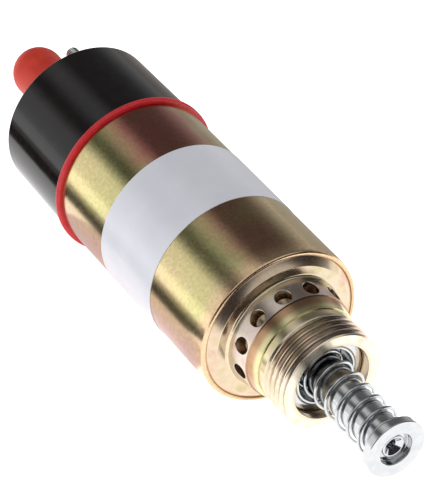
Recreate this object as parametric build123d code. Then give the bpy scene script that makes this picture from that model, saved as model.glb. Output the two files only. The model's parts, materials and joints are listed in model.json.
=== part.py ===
# Fuel shutoff solenoid: a pull-type engine solenoid with a screw-in nose.
# Everything turned is revolved about X. X = 0 is the root of the mounting thread,
# +X runs out of the nose along the plunger, and the terminals lie toward -X.
# Angles round the axis are measured from +Y toward +Z. All sizes are millimetres.
import os
from math import cos, pi, radians, sin, tan

from build123d import *

# Plunger, button and stroke
STROKE = 14.0
BUTTON_FACE_X = 42.0
BUTTON_OVERHANG = 1.22
BUTTON_THICKNESS = 2.5
BUTTON_RECESS_R = 4.8
BUTTON_RECESS_DEPTH = 1.9
BUTTON_EDGE = 0.3
SHAFT_R = 5.6
SHAFT_END_R = 3.3
SHAFT_END_BELOW_FACE = 0.8
CENTRE_HOLE_R = 1.6
CENTRE_HOLE_DEPTH = 4.5
DRILL_HALF_ANGLE = 59.0
ARMATURE_LENGTH = 34.0
ARMATURE_CONE_LENGTH = 5.0
ARMATURE_CONE_DEPTH = 4.05
ARMATURE_CONE_STEP = 0.9
ARMATURE_EDGE = 0.5

# Return spring, then what both springs share: the pitch of the closed turns and the part of the
# wire that is left behind each ground end, both in wire radii, and the path's points to a turn
SPRING_SHAFT_GAP = 0.54
SPRING_WIRE_R = 0.68
SPRING_ACTIVE_TURNS = 5.85
SPRING_CLOSED_TURNS = 1.75
CLOSED_PITCH = 2.04
GROUND_END = 0.4
PATH_POINTS = 12

# Mounting nose
THREAD_R = 15.08
THREAD_LENGTH = 12.2
THREAD_CHAMFER = 0.48
THREAD_ROOT_STEP = 0.1
COLLAR_LENGTH = 4.3
COLLAR_STEP = 1.02
COLLAR_LAND = 0.25
NECK_LENGTH = 7.2
NECK_RISE = 1.3
NECK_WALL = 5.05
NECK_FILLET = 0.8
FLANGE_LAND = 2.55
FLANGE_CONE_WIDTH = 2.3
FLANGE_CONE_LENGTH = 1.7
FLANGE_LENGTH = 6.5
SPANNER_HOLES = 12
SPANNER_HOLE_R = 2.4
SPANNER_HOLE_DEPTH = 2.4
SPANNER_HOLE_SETBACK = 2.3
SPANNER_FIRST_ANGLE = 11.5
NOSE_WALL = 3.68
NOSE_BORE_CHAMFER = 0.3
NOSE_BORE_DEPTH = 10.2
WEB_THICKNESS = 3.0
BUSH_WALL = 2.0
SEAT_WASHER_THICKNESS = 1.2
SEAT_WASHER_DISH = 0.5
SEAT_WASHER_LAND = 0.4
SEAT_WASHER_RIM = 0.2
RING_THICKNESS = 1.0
RING_WIDTH = 1.6
RING_GROOVE_DEPTH = 0.8
RING_GAP_ANGLE = 40.0

# Can, label and coil
CAN_WALL = 1.2
CAN_SKIRT = 8.45
CAN_LIP_ROUND = 0.9
CAN_LIP_RETURN = 0.55
LABEL_THICKNESS = 0.12
LABEL_WIDTH = 26.8
LABEL_SETBACK = 27.5
LABEL_ARC = 336.0
LABEL_GAP_ANGLE = 270.0
GUIDE_TUBE_WALL = 0.55
GUIDE_TUBE_SEAT = 3.0
CUSHION_THICKNESS = 0.9
CUSHION_INSET = 2.0
BOBBIN_LENGTH = 51.0
BOBBIN_TUBE_WALL = 1.2
COIL_CLEARANCE = 1.0
BOBBIN_FLANGE_THICKNESS = 1.8
WINDING_MARGIN = 1.7
WRAP_THICKNESS = 0.4
POLE_PLATE_THICKNESS = 4.0
LEAD_R = 0.6
LEAD_SLOT_R = 1.3

# Switch
BASE_THICKNESS = 8.0
BASE_HOLE_R = 3.6
CONTACT_TRAVEL = 1.2
STRIP_WIDTH = 6.0
STRIP_THICKNESS = 1.2
STRIP_FREE_END = 3.2
PAD_R = 2.3
PAD_HEIGHT = 1.0
BRIDGE_OVERHANG = 3.2
BRIDGE_WIDTH = 7.5
BRIDGE_THICKNESS = 1.6
PUSH_ROD_R = 1.5
PUSH_ROD_COLLAR_R = 2.6
PUSH_ROD_TAIL = 2.0
BRACKET_HEIGHT = 15.0
BRACKET_REACH = 12.5
BRACKET_WIDTH = 6.0
BRACKET_GAUGE = 1.0
BRACKET_TENON = 2.0
CONTACT_SPRING_R = 3.0
CONTACT_SPRING_WIRE_R = 0.3
CONTACT_SPRING_TURNS = 5.0
CONTACT_SPRING_CLOSED_TURNS = 1.0

# Cap, seal and terminals
SEAL_THICKNESS = 1.7
SEAL_PROUD = 1.35
SEAL_ROUND = 0.7
CAP_LENGTH = 31.4
CAP_STEP = 0.3
CAP_DRAFT = 0.4
CAP_WALL = 3.6
CAP_END_WALL = 4.0
CAP_SPIGOT_LENGTH = 6.5
CAP_EDGE_ROUND = 1.0
TERMINAL_RISE = 9.71
TERMINAL_GAP = 1.96
TERMINAL_MID_ANGLE = 84.8
STUD_R = 2.0
STUD_CORE_R = 1.77
STUD_FREE_LENGTH = 19.6
STUD_CHAMFER = 0.5
STUD_COLLAR_R = 4.0
STUD_COLLAR_LENGTH = 4.0
FLAT_WASHER_R = 4.5
FLAT_WASHER_THICKNESS = 0.8
LOCK_WASHER_R = 3.8
LOCK_WASHER_THICKNESS = 1.0
LOCK_WASHER_GAP = 0.9
NUT_ACROSS_FLATS = 7.0
NUT_HEIGHT = 3.2
BOOT_R = 7.65
BOOT_END_WALL = 1.0
BOOT_SKIRT_R = 5.1
BOOT_SKIRT_DEPTH = 7.0

# Clearances
SHAFT_CLEARANCE = 0.15
ARMATURE_CLEARANCE = 0.15
STOP_CLEARANCE = 0.2
LOOSE_FIT = 0.15
ROD_CLEARANCE = 0.3
CONTACT_CLEARANCE = 0.05
SPRING_SEAT_GAP = 0.05
BOOT_CLEARANCE = 0.25
LABEL_GLUE = 0.03
RING_SLACK = 0.05
CUT_MARGIN = 1.0

# Radii, from the shaft and the mounting thread outward
SPRING_OUTER_R = SHAFT_R + SPRING_SHAFT_GAP + 2 * SPRING_WIRE_R
BUTTON_R = SPRING_OUTER_R + BUTTON_OVERHANG
BUSH_R = SHAFT_R + BUSH_WALL
NOSE_BORE_R = THREAD_R - NOSE_WALL
RING_GROOVE_R = NOSE_BORE_R + RING_GROOVE_DEPTH
COLLAR_R = THREAD_R + COLLAR_STEP
NECK_END_R = COLLAR_R + NECK_RISE
BORE_R = COLLAR_R - NECK_WALL
GUIDE_TUBE_R = BORE_R + GUIDE_TUBE_WALL
FLANGE_FACE_R = NECK_END_R + FLANGE_LAND
FLANGE_CONE_R = FLANGE_FACE_R + FLANGE_CONE_WIDTH
CAN_BORE_R = FLANGE_CONE_R + CAN_LIP_RETURN
CAN_R = CAN_BORE_R + CAN_WALL
SEAL_R = CAN_R + SEAL_PROUD
CAP_FRONT_R = CAN_R + CAP_STEP
CAP_REAR_R = CAP_FRONT_R - CAP_DRAFT
CAP_SPIGOT_R = CAN_BORE_R - LOOSE_FIT
CAP_INNER_R = CAN_R - CAP_WALL - LOOSE_FIT
BOBBIN_TUBE_R = GUIDE_TUBE_R + LOOSE_FIT + BOBBIN_TUBE_WALL
BOBBIN_FLANGE_R = CAN_BORE_R - COIL_CLEARANCE
HOLD_R = BOBBIN_FLANGE_R - WINDING_MARGIN - WRAP_THICKNESS
PULL_R = (BOBBIN_TUBE_R + HOLD_R) / 2

# Stations along X, from the thread outward and inward
BUTTON_REAR_X = BUTTON_FACE_X - BUTTON_THICKNESS
WEB_FRONT_X = THREAD_LENGTH - NOSE_BORE_DEPTH
WEB_REAR_X = WEB_FRONT_X - WEB_THICKNESS
SEAT_X = WEB_FRONT_X + SEAT_WASHER_THICKNESS
RING_X = SEAT_X + RING_SLACK
NECK_X = -COLLAR_LENGTH
FLANGE_FACE_X = NECK_X - NECK_LENGTH
LIP_X = FLANGE_FACE_X - FLANGE_CONE_LENGTH
FLANGE_REAR_X = FLANGE_FACE_X - FLANGE_LENGTH
GUIDE_TUBE_X = FLANGE_REAR_X + GUIDE_TUBE_SEAT
BOBBIN_X = FLANGE_REAR_X - CUSHION_THICKNESS
BOBBIN_REAR_X = BOBBIN_X - BOBBIN_LENGTH
WINDING_X = BOBBIN_X - BOBBIN_FLANGE_THICKNESS
WINDING_REAR_X = BOBBIN_REAR_X + BOBBIN_FLANGE_THICKNESS
PLATE_X = BOBBIN_REAR_X - LOOSE_FIT
PLATE_REAR_X = PLATE_X - POLE_PLATE_THICKNESS
BASE_REAR_X = PLATE_REAR_X - BASE_THICKNESS
STRIP_REAR_X = BASE_REAR_X - STRIP_THICKNESS
ARMATURE_X = WEB_REAR_X - STOP_CLEARANCE
ARMATURE_REAR_X = ARMATURE_X - ARMATURE_LENGTH
CORE_X = ARMATURE_REAR_X - STROKE - STOP_CLEARANCE
CAN_REAR_X = BASE_REAR_X - CAN_SKIRT
CAP_X = CAN_REAR_X - SEAL_THICKNESS
CAP_REAR_X = CAP_X - CAP_LENGTH
CAP_END_X = CAP_REAR_X + CAP_END_WALL
CAP_SPIGOT_X = CAP_X + CAP_SPIGOT_LENGTH
LOCK_WASHER_X = CAP_REAR_X - FLAT_WASHER_THICKNESS
NUT_X = LOCK_WASHER_X - LOCK_WASHER_THICKNESS
NUT_REAR_X = NUT_X - NUT_HEIGHT
STUD_TIP_X = CAP_REAR_X - STUD_FREE_LENGTH
PAD_X = STRIP_REAR_X - PAD_HEIGHT
BRIDGE_X = PAD_X - CONTACT_CLEARANCE
BRIDGE_REAR_X = BRIDGE_X - BRIDGE_THICKNESS
BRACKET_REAR_X = BASE_REAR_X - BRACKET_HEIGHT

# The studs stand apart by what the boot and the bare terminal's washer need
TERMINAL_SIDE = (BOOT_R + FLAT_WASHER_R + TERMINAL_GAP) / 2

# Signs of each coil lead's place along Y and Z in the switch
LEAD_PLACES = {"pull_coil_lead": (-1, -1), "hold_coil_lead": (-1, 1), "common_lead": (1, -1)}


def turned(outline, rounds=()):
    """Revolve a closed outline of (x, radius) points about X, rounding chosen corners."""
    face = make_face(Polyline(*outline, close=True))
    for corner, radius in rounds:
        vertex = face.vertices().sort_by_distance((corner[0], corner[1], 0))[0]
        face = fillet(vertex, radius)
    return revolve(face, Axis.X)


def ring(x_front, x_rear, outer_r, inner_r):
    """A plain washer or tube between two stations."""
    return turned([(x_front, inner_r), (x_front, outer_r), (x_rear, outer_r), (x_rear, inner_r)])


def rod(x_front, x_rear, radius):
    """A plain round bar on the axis between two stations."""
    return turned([(x_front, 0), (x_front, radius), (x_rear, radius), (x_rear, 0)])


def round_axis(shape, angle):
    """Turn a shape about X to an angle measured from +Y toward +Z."""
    return Rot(X=angle) * shape


def at_terminal(shape, side):
    """Move a shape from the axis to a terminal: side is -1 or +1 of the middle angle."""
    return round_axis(Pos(0, TERMINAL_RISE, side * TERMINAL_SIDE) * shape, TERMINAL_MID_ANGLE)


def in_switch(shape):
    """Turn a shape drawn with its Y toward the terminals into place round the axis."""
    return round_axis(shape, TERMINAL_MID_ANGLE)


def block(x_front, x_rear, y_low, y_high, z_low, z_high):
    """A box given by its limits."""
    size = Box(x_front - x_rear, y_high - y_low, z_high - z_low)
    return Pos((x_front + x_rear) / 2, (y_low + y_high) / 2, (z_low + z_high) / 2) * size


def coil_spring(x_low, x_high, outer_r, wire_r, active_turns, closed_turns):
    """A compression spring along X with closed ends that are ground flat."""
    mean_r = outer_r - wire_r
    start_x = x_low + GROUND_END * wire_r
    length = x_high - x_low - 2 * GROUND_END * wire_r
    closed_length = CLOSED_PITCH * wire_r * closed_turns
    pitch = (length - 2 * closed_length) / active_turns
    turns = active_turns + 2 * closed_turns
    points = []
    for step in range(round(turns * PATH_POINTS) + 1):
        turn = min(step / PATH_POINTS, turns)
        if turn < closed_turns:
            rise = CLOSED_PITCH * wire_r * turn
        elif turn < closed_turns + active_turns:
            rise = closed_length + pitch * (turn - closed_turns)
        else:
            rise = length - CLOSED_PITCH * wire_r * (turns - turn)
        angle = 2 * pi * turn
        points.append((mean_r * cos(angle), mean_r * sin(angle), start_x + rise))
    path = Spline(*points)
    wire = sweep(Plane(origin=path @ 0, z_dir=path % 0) * Circle(wire_r), path=path, is_frenet=True)
    ground = Pos(0, 0, (x_low + x_high) / 2) * Cylinder(outer_r + CUT_MARGIN, x_high - x_low)
    return Rot(Y=90) * (wire & ground)


def mounting_nose():
    """Turned nose: thread blank, spanner neck, crimping flange and stepped bore."""
    groove_end_x = RING_X + RING_THICKNESS + 2 * RING_SLACK
    outline = [
        (THREAD_LENGTH, THREAD_R - THREAD_CHAMFER),
        (THREAD_LENGTH - THREAD_CHAMFER, THREAD_R),
        (0, THREAD_R),
        (0, THREAD_R + THREAD_ROOT_STEP),
        (NECK_X, COLLAR_R),
        (NECK_X - COLLAR_LAND, COLLAR_R + COLLAR_LAND / 2),
        (FLANGE_FACE_X, NECK_END_R),
        (FLANGE_FACE_X, FLANGE_FACE_R),
        (LIP_X, FLANGE_CONE_R),
        (LIP_X - CAN_LIP_RETURN, CAN_BORE_R),
        (FLANGE_REAR_X, CAN_BORE_R),
        (FLANGE_REAR_X, GUIDE_TUBE_R),
        (GUIDE_TUBE_X, GUIDE_TUBE_R),
        (GUIDE_TUBE_X, BORE_R),
        (WEB_REAR_X, BORE_R),
        (WEB_REAR_X, BUSH_R),
        (WEB_FRONT_X, BUSH_R),
        (WEB_FRONT_X, NOSE_BORE_R),
        (RING_X, NOSE_BORE_R),
        (RING_X, RING_GROOVE_R),
        (groove_end_x, RING_GROOVE_R),
        (groove_end_x, NOSE_BORE_R),
        (THREAD_LENGTH - NOSE_BORE_CHAMFER, NOSE_BORE_R),
        (THREAD_LENGTH, NOSE_BORE_R + NOSE_BORE_CHAMFER),
    ]
    nose = turned(outline, [((FLANGE_FACE_X, NECK_END_R), NECK_FILLET)])
    for step in range(SPANNER_HOLES):
        nose -= round_axis(spanner_drill(), SPANNER_FIRST_ANGLE + step * 360 / SPANNER_HOLES)
    return nose


def spanner_drill():
    """The blind hole that a pin spanner enters, drawn along +Y with its drill point."""
    mouth_r = NECK_END_R + CUT_MARGIN
    floor_r = COLLAR_R - SPANNER_HOLE_DEPTH
    point_r = floor_r - SPANNER_HOLE_R / tan(radians(DRILL_HALF_ANGLE))
    outline = [(0, point_r), (SPANNER_HOLE_R, floor_r), (SPANNER_HOLE_R, mouth_r), (0, mouth_r)]
    drill = revolve(make_face(Polyline(*outline, close=True)), Axis.Y)
    return Pos(NECK_X - SPANNER_HOLE_SETBACK, 0, 0) * drill


def shaft_bush():
    """Bearing bush pressed into the web of the nose."""
    return ring(WEB_FRONT_X, WEB_REAR_X, BUSH_R, SHAFT_R + SHAFT_CLEARANCE)


def spring_seat_washer():
    """Dished washer that carries the rear end of the return spring."""
    inner_r = SHAFT_R + 2 * SHAFT_CLEARANCE
    outer_r = NOSE_BORE_R - LOOSE_FIT
    width = outer_r - inner_r
    land_r = inner_r + SEAT_WASHER_LAND * width
    rim_r = outer_r - SEAT_WASHER_RIM * width / 2
    outline = [
        (WEB_FRONT_X, inner_r),
        (SEAT_X, inner_r),
        (SEAT_X, land_r),
        (SEAT_X - SEAT_WASHER_DISH, land_r + SEAT_WASHER_RIM * width / 2),
        (SEAT_X - SEAT_WASHER_DISH, outer_r - SEAT_WASHER_RIM * width),
        (SEAT_X, rim_r),
        (SEAT_X, outer_r),
        (WEB_FRONT_X, outer_r),
    ]
    return turned(outline)


def seat_retaining_ring():
    """Open internal snap ring in the groove ahead of the seat washer."""
    section = [
        (RING_X, RING_GROOVE_R - RING_WIDTH),
        (RING_X, RING_GROOVE_R),
        (RING_X + RING_THICKNESS, RING_GROOVE_R),
        (RING_X + RING_THICKNESS, RING_GROOVE_R - RING_WIDTH),
    ]
    face = make_face(Polyline(*section, close=True))
    opened = revolve(face, Axis.X, revolution_arc=360 - RING_GAP_ANGLE)
    return round_axis(opened, RING_GAP_ANGLE / 2)


def housing_tube():
    """Drawn can with its front lip rolled in over the flange of the nose."""
    outline = [
        (LIP_X, FLANGE_CONE_R),
        (LIP_X - CAN_LIP_RETURN, CAN_BORE_R),
        (CAN_REAR_X, CAN_BORE_R),
        (CAN_REAR_X, CAN_R),
        (LIP_X, CAN_R),
    ]
    return turned(outline, [((LIP_X, CAN_R), CAN_LIP_ROUND)])


def rating_label():
    """Blank wrap-round label, open on the hidden underside."""
    x_front = LIP_X - LABEL_SETBACK
    inner_r = CAN_R + LABEL_GLUE
    section = [
        (x_front, inner_r),
        (x_front, inner_r + LABEL_THICKNESS),
        (x_front - LABEL_WIDTH, inner_r + LABEL_THICKNESS),
        (x_front - LABEL_WIDTH, inner_r),
    ]
    face = make_face(Polyline(*section, close=True))
    wrap = revolve(face, Axis.X, revolution_arc=LABEL_ARC)
    return round_axis(wrap, LABEL_GAP_ANGLE + (360 - LABEL_ARC) / 2)


def guide_tube():
    """Non-magnetic tube that the armature slides in and the core is pressed into."""
    return ring(GUIDE_TUBE_X, PLATE_X, GUIDE_TUBE_R, BORE_R)


def coil_cushion():
    """Fibre washer between the nose flange and the coil."""
    return ring(FLANGE_REAR_X, BOBBIN_X, BOBBIN_FLANGE_R, GUIDE_TUBE_R + CUSHION_INSET)


def coil_bobbin():
    """Moulded bobbin: a tube with two cheeks."""
    inner_r = GUIDE_TUBE_R + LOOSE_FIT
    outline = [
        (BOBBIN_X, inner_r),
        (BOBBIN_X, BOBBIN_FLANGE_R),
        (WINDING_X, BOBBIN_FLANGE_R),
        (WINDING_X, BOBBIN_TUBE_R),
        (WINDING_REAR_X, BOBBIN_TUBE_R),
        (WINDING_REAR_X, BOBBIN_FLANGE_R),
        (BOBBIN_REAR_X, BOBBIN_FLANGE_R),
        (BOBBIN_REAR_X, inner_r),
    ]
    return drill_leads(turned(outline), WINDING_REAR_X, BOBBIN_REAR_X)


def winding(inner_r, outer_r):
    """A layer that fills the bobbin between its cheeks."""
    return ring(WINDING_X, WINDING_REAR_X, outer_r, inner_r)


def lead_rise():
    """Height of the leads above or below the axis, level with the contact strips."""
    lead_circle_r = HOLD_R - LEAD_SLOT_R
    return (lead_circle_r**2 - TERMINAL_SIDE**2) ** 0.5


def at_lead(shape, place):
    """Move a shape from the axis to a coil lead, given its signs along Y and Z."""
    return Pos(0, place[0] * lead_rise(), place[1] * TERMINAL_SIDE) * shape


def drill_leads(shape, x_front, x_rear):
    """Cut a passage for every coil lead through a part of the coil or the switch."""
    for place in LEAD_PLACES.values():
        shape -= in_switch(at_lead(rod(x_front, x_rear, LEAD_SLOT_R), place))
    return shape


def coil_lead(place):
    """One coil end, brought straight back through the pole plate to its strip."""
    return in_switch(at_lead(rod(WINDING_REAR_X, STRIP_REAR_X, LEAD_R), place))


def rear_pole_plate():
    """Steel plate that closes the magnetic path between the can and the core."""
    return drill_leads(ring(PLATE_X, PLATE_REAR_X, CAN_BORE_R, BORE_R), PLATE_X, PLATE_REAR_X)


def fixed_core():
    """Stop for the armature, with a matching cone and a hole for the push rod."""
    hole_r = PUSH_ROD_R + ROD_CLEARANCE
    outline = [
        (CORE_X + ARMATURE_CONE_LENGTH, BORE_R),
        (PLATE_REAR_X, BORE_R),
        (PLATE_REAR_X, hole_r),
        (CORE_X, hole_r),
        (CORE_X, BORE_R - ARMATURE_CONE_DEPTH + STOP_CLEARANCE),
        (CORE_X + ARMATURE_CONE_LENGTH, BORE_R - ARMATURE_CONE_STEP + STOP_CLEARANCE),
    ]
    return turned(outline)


def switch_base():
    """Moulded base that carries the contacts and is cast round the stud collars."""
    tenon_x = BASE_REAR_X + BRACKET_TENON
    half = BRACKET_WIDTH / 2
    base = ring(PLATE_REAR_X, BASE_REAR_X, CAN_BORE_R - LOOSE_FIT, BASE_HOLE_R)
    base = drill_leads(base, PLATE_REAR_X, BASE_REAR_X)
    for side in (-1, 1):
        base -= at_terminal(stud_body(), side)
        y_low, y_high = sorted((side * (BRACKET_REACH - BRACKET_GAUGE), side * BRACKET_REACH))
        base -= in_switch(block(tenon_x, BASE_REAR_X, y_low, y_high, -half, half))
    return base


def contact_strip(side, y_low, y_high, padded):
    """Copper strip on the base, pierced for its stud and its leads, with a raised pad or none."""
    z_mid = side * TERMINAL_SIDE
    half = STRIP_WIDTH / 2
    strip = block(BASE_REAR_X, STRIP_REAR_X, y_low, y_high, z_mid - half, z_mid + half)
    if padded:
        strip += Pos(0, 0, z_mid) * rod(STRIP_REAR_X, PAD_X, PAD_R)
    strip -= Pos(0, TERMINAL_RISE, z_mid) * rod(BASE_REAR_X, STRIP_REAR_X, STUD_CORE_R)
    for rise in (-1, 1):
        strip -= at_lead(rod(BASE_REAR_X, STRIP_REAR_X, LEAD_R), (rise, side))
    return in_switch(strip)


def supply_contact():
    """Strip from the positive stud past its pad to the hold coil."""
    return contact_strip(1, -lead_rise() - STRIP_FREE_END / 2, TERMINAL_RISE + STRIP_FREE_END, True)


def coil_contact():
    """Strip from the other pad to the pull coil."""
    return contact_strip(-1, -lead_rise() - STRIP_FREE_END / 2, STRIP_FREE_END, True)


def ground_strip():
    """Strip from the negative stud to the common end of both coils."""
    return contact_strip(-1, TERMINAL_RISE - STRIP_FREE_END, lead_rise() + STRIP_FREE_END / 2, False)


def switch_bracket():
    """Stamped U bracket that backs the contact spring, tenoned into the base."""
    tenon_x = BASE_REAR_X + BRACKET_TENON
    inner = BRACKET_REACH - BRACKET_GAUGE
    half = BRACKET_WIDTH / 2
    outside = block(tenon_x, BRACKET_REAR_X, -BRACKET_REACH, BRACKET_REACH, -half, half)
    inside = block(tenon_x, BRACKET_REAR_X + BRACKET_GAUGE, -inner, inner, -half, half)
    return in_switch(outside - inside)


def contact_bridge():
    """Copper bar that joins the two pads until the push rod lifts it."""
    half = TERMINAL_SIDE + BRIDGE_OVERHANG
    bar = block(BRIDGE_X, BRIDGE_REAR_X, -BRIDGE_WIDTH / 2, BRIDGE_WIDTH / 2, -half, half)
    return in_switch(bar - rod(BRIDGE_X, BRIDGE_REAR_X, PUSH_ROD_R))


def contact_push_rod():
    """Insulating rod from just behind the armature's end of travel to the bridge."""
    front_x = CORE_X - ROD_CLEARANCE / 2
    outline = [
        (front_x, 0),
        (front_x, PUSH_ROD_R),
        (BRIDGE_X + PAD_HEIGHT, PUSH_ROD_R),
        (BRIDGE_X + PAD_HEIGHT, PUSH_ROD_COLLAR_R),
        (BRIDGE_X, PUSH_ROD_COLLAR_R),
        (BRIDGE_X, PUSH_ROD_R),
        (BRIDGE_REAR_X - PUSH_ROD_TAIL, PUSH_ROD_R),
        (BRIDGE_REAR_X - PUSH_ROD_TAIL, 0),
    ]
    return turned(outline)


def contact_spring():
    """Light spring that holds the bridge on the pads."""
    return coil_spring(
        BRACKET_REAR_X + BRACKET_GAUGE + SPRING_SEAT_GAP,
        BRIDGE_REAR_X - SPRING_SEAT_GAP,
        CONTACT_SPRING_R,
        CONTACT_SPRING_WIRE_R,
        CONTACT_SPRING_TURNS,
        CONTACT_SPRING_CLOSED_TURNS,
    )


def cap_seal():
    """Rubber ring between the can and the cap, proud of both."""
    outline = [
        (CAN_REAR_X, CAP_SPIGOT_R),
        (CAN_REAR_X, SEAL_R),
        (CAP_X, SEAL_R),
        (CAP_X, CAP_SPIGOT_R),
    ]
    return turned(outline, [((CAN_REAR_X, SEAL_R), SEAL_ROUND), ((CAP_X, SEAL_R), SEAL_ROUND)])


def terminal_cap():
    """Moulded cap: a drafted cup with a spigot that enters the can."""
    outline = [
        (CAP_SPIGOT_X, CAP_INNER_R),
        (CAP_SPIGOT_X, CAP_SPIGOT_R),
        (CAP_X, CAP_SPIGOT_R),
        (CAP_X, CAP_FRONT_R),
        (CAP_REAR_X, CAP_REAR_R),
        (CAP_REAR_X, 0),
        (CAP_END_X, 0),
        (CAP_END_X, CAP_INNER_R),
    ]
    rounds = [
        ((CAP_REAR_X, CAP_REAR_R), CAP_EDGE_ROUND),
        ((CAP_END_X, CAP_INNER_R), CAP_EDGE_ROUND),
    ]
    cap = turned(outline, rounds)
    hole = rod(CAP_END_X, CAP_REAR_X, STUD_R + LOOSE_FIT)
    for side in (-1, 1):
        cap -= at_terminal(hole, side)
    return cap


def stud_body():
    """Terminal stud: a collar that is moulded into the base and a plain bar for the thread.

    The free end is drawn over its crests. Where the nut grips it, the nut and the stud meet
    at the thread's middle radius.
    """
    collar_x = PLATE_REAR_X - (BASE_THICKNESS - STUD_COLLAR_LENGTH) / 2
    collar_rear_x = collar_x - STUD_COLLAR_LENGTH
    outline = [
        (collar_x, 0),
        (collar_x, STUD_COLLAR_R),
        (collar_rear_x, STUD_COLLAR_R),
        (collar_rear_x, STUD_CORE_R),
        (NUT_REAR_X, STUD_CORE_R),
        (NUT_REAR_X, STUD_R),
        (STUD_TIP_X + STUD_CHAMFER, STUD_R),
        (STUD_TIP_X, STUD_R - STUD_CHAMFER),
        (STUD_TIP_X, 0),
    ]
    return turned(outline)


def flat_washer():
    """Plain washer under the terminal nut."""
    return ring(CAP_REAR_X, LOCK_WASHER_X, FLAT_WASHER_R, STUD_R + LOOSE_FIT)


def lock_washer():
    """Split washer under the terminal nut."""
    washer = ring(LOCK_WASHER_X, NUT_X, LOCK_WASHER_R, STUD_R + LOOSE_FIT)
    half = LOCK_WASHER_GAP / 2
    return washer - block(LOCK_WASHER_X, NUT_X, 0, LOCK_WASHER_R + CUT_MARGIN, -half, half)


def terminal_nut():
    """Hexagon nut with chamfered corners, run down on the stud."""
    corner_r = NUT_ACROSS_FLATS / 2 / cos(radians(30))
    hexagon = extrude(Plane.YZ * RegularPolygon(corner_r, 6), NUT_HEIGHT)
    chamfer_r = NUT_ACROSS_FLATS / 2
    slope = (corner_r - chamfer_r) * tan(radians(30))
    crown = turned([
        (NUT_X, 0),
        (NUT_X, chamfer_r),
        (NUT_X - slope, corner_r),
        (NUT_REAR_X + slope, corner_r),
        (NUT_REAR_X, chamfer_r),
        (NUT_REAR_X, 0),
    ])
    return (Pos(NUT_REAR_X, 0, 0) * hexagon & crown) - rod(NUT_X, NUT_REAR_X, STUD_CORE_R)


def terminal_boot():
    """Domed rubber boot over the insulated terminal."""
    open_x = CAP_REAR_X - BOOT_CLEARANCE
    skirt_x = CAP_REAR_X - BOOT_SKIRT_DEPTH
    neck_r = STUD_R + BOOT_CLEARANCE
    neck_end_x = STUD_TIP_X - BOOT_CLEARANCE
    dome_x = neck_end_x - BOOT_END_WALL + BOOT_R
    with BuildPart() as boot:
        with BuildSketch():
            with BuildLine():
                Line((open_x, BOOT_SKIRT_R), (open_x, BOOT_R))
                Line((open_x, BOOT_R), (dome_x, BOOT_R))
                RadiusArc((dome_x, BOOT_R), (dome_x - BOOT_R, 0), -BOOT_R)
                Polyline(
                    (dome_x - BOOT_R, 0),
                    (neck_end_x, 0),
                    (neck_end_x, neck_r),
                    (skirt_x, neck_r),
                    (skirt_x, BOOT_SKIRT_R),
                    (open_x, BOOT_SKIRT_R),
                )
            make_face()
        revolve(axis=Axis.X)
    return boot.part


def plunger_core():
    """Steel armature with a coned end that enters the fixed core."""
    outer_r = BORE_R - ARMATURE_CLEARANCE
    cone_x = ARMATURE_REAR_X + ARMATURE_CONE_LENGTH
    outline = [
        (ARMATURE_X, SHAFT_R),
        (ARMATURE_X, outer_r),
        (cone_x, outer_r),
        (cone_x, BORE_R - ARMATURE_CONE_STEP),
        (ARMATURE_REAR_X, BORE_R - ARMATURE_CONE_DEPTH),
        (ARMATURE_REAR_X, SHAFT_R),
    ]
    return turned(outline, [((ARMATURE_X, outer_r), ARMATURE_EDGE)])


def plunger_shaft():
    """Polished shaft, riveted into the button and centre-drilled at its end."""
    end_x = BUTTON_FACE_X - SHAFT_END_BELOW_FACE
    hole_x = end_x - CENTRE_HOLE_DEPTH
    point_x = hole_x - CENTRE_HOLE_R / tan(radians(DRILL_HALF_ANGLE))
    outline = [
        (ARMATURE_REAR_X, 0),
        (ARMATURE_REAR_X, SHAFT_R),
        (BUTTON_REAR_X, SHAFT_R),
        (BUTTON_REAR_X, SHAFT_END_R),
        (end_x, SHAFT_END_R),
        (end_x, CENTRE_HOLE_R),
        (hole_x, CENTRE_HOLE_R),
        (point_x, 0),
    ]
    return turned(outline, [((end_x, SHAFT_END_R), BUTTON_EDGE)])


def plunger_button():
    """Flanged button that the return spring pushes on."""
    recess_x = BUTTON_FACE_X - BUTTON_RECESS_DEPTH
    outline = [
        (BUTTON_REAR_X, SHAFT_END_R),
        (BUTTON_REAR_X, BUTTON_R),
        (BUTTON_FACE_X, BUTTON_R),
        (BUTTON_FACE_X, BUTTON_RECESS_R),
        (recess_x, BUTTON_RECESS_R),
        (recess_x, SHAFT_END_R),
    ]
    rounds = [
        ((BUTTON_FACE_X, BUTTON_R), BUTTON_EDGE),
        ((BUTTON_REAR_X, BUTTON_R), BUTTON_EDGE),
        ((BUTTON_FACE_X, BUTTON_RECESS_R), BUTTON_EDGE),
    ]
    return turned(outline, rounds)


def return_spring():
    """Spring between the seat washer and the button."""
    return coil_spring(
        SEAT_X + SPRING_SEAT_GAP,
        BUTTON_REAR_X - SPRING_SEAT_GAP,
        SPRING_OUTER_R,
        SPRING_WIRE_R,
        SPRING_ACTIVE_TURNS,
        SPRING_CLOSED_TURNS,
    )


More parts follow.
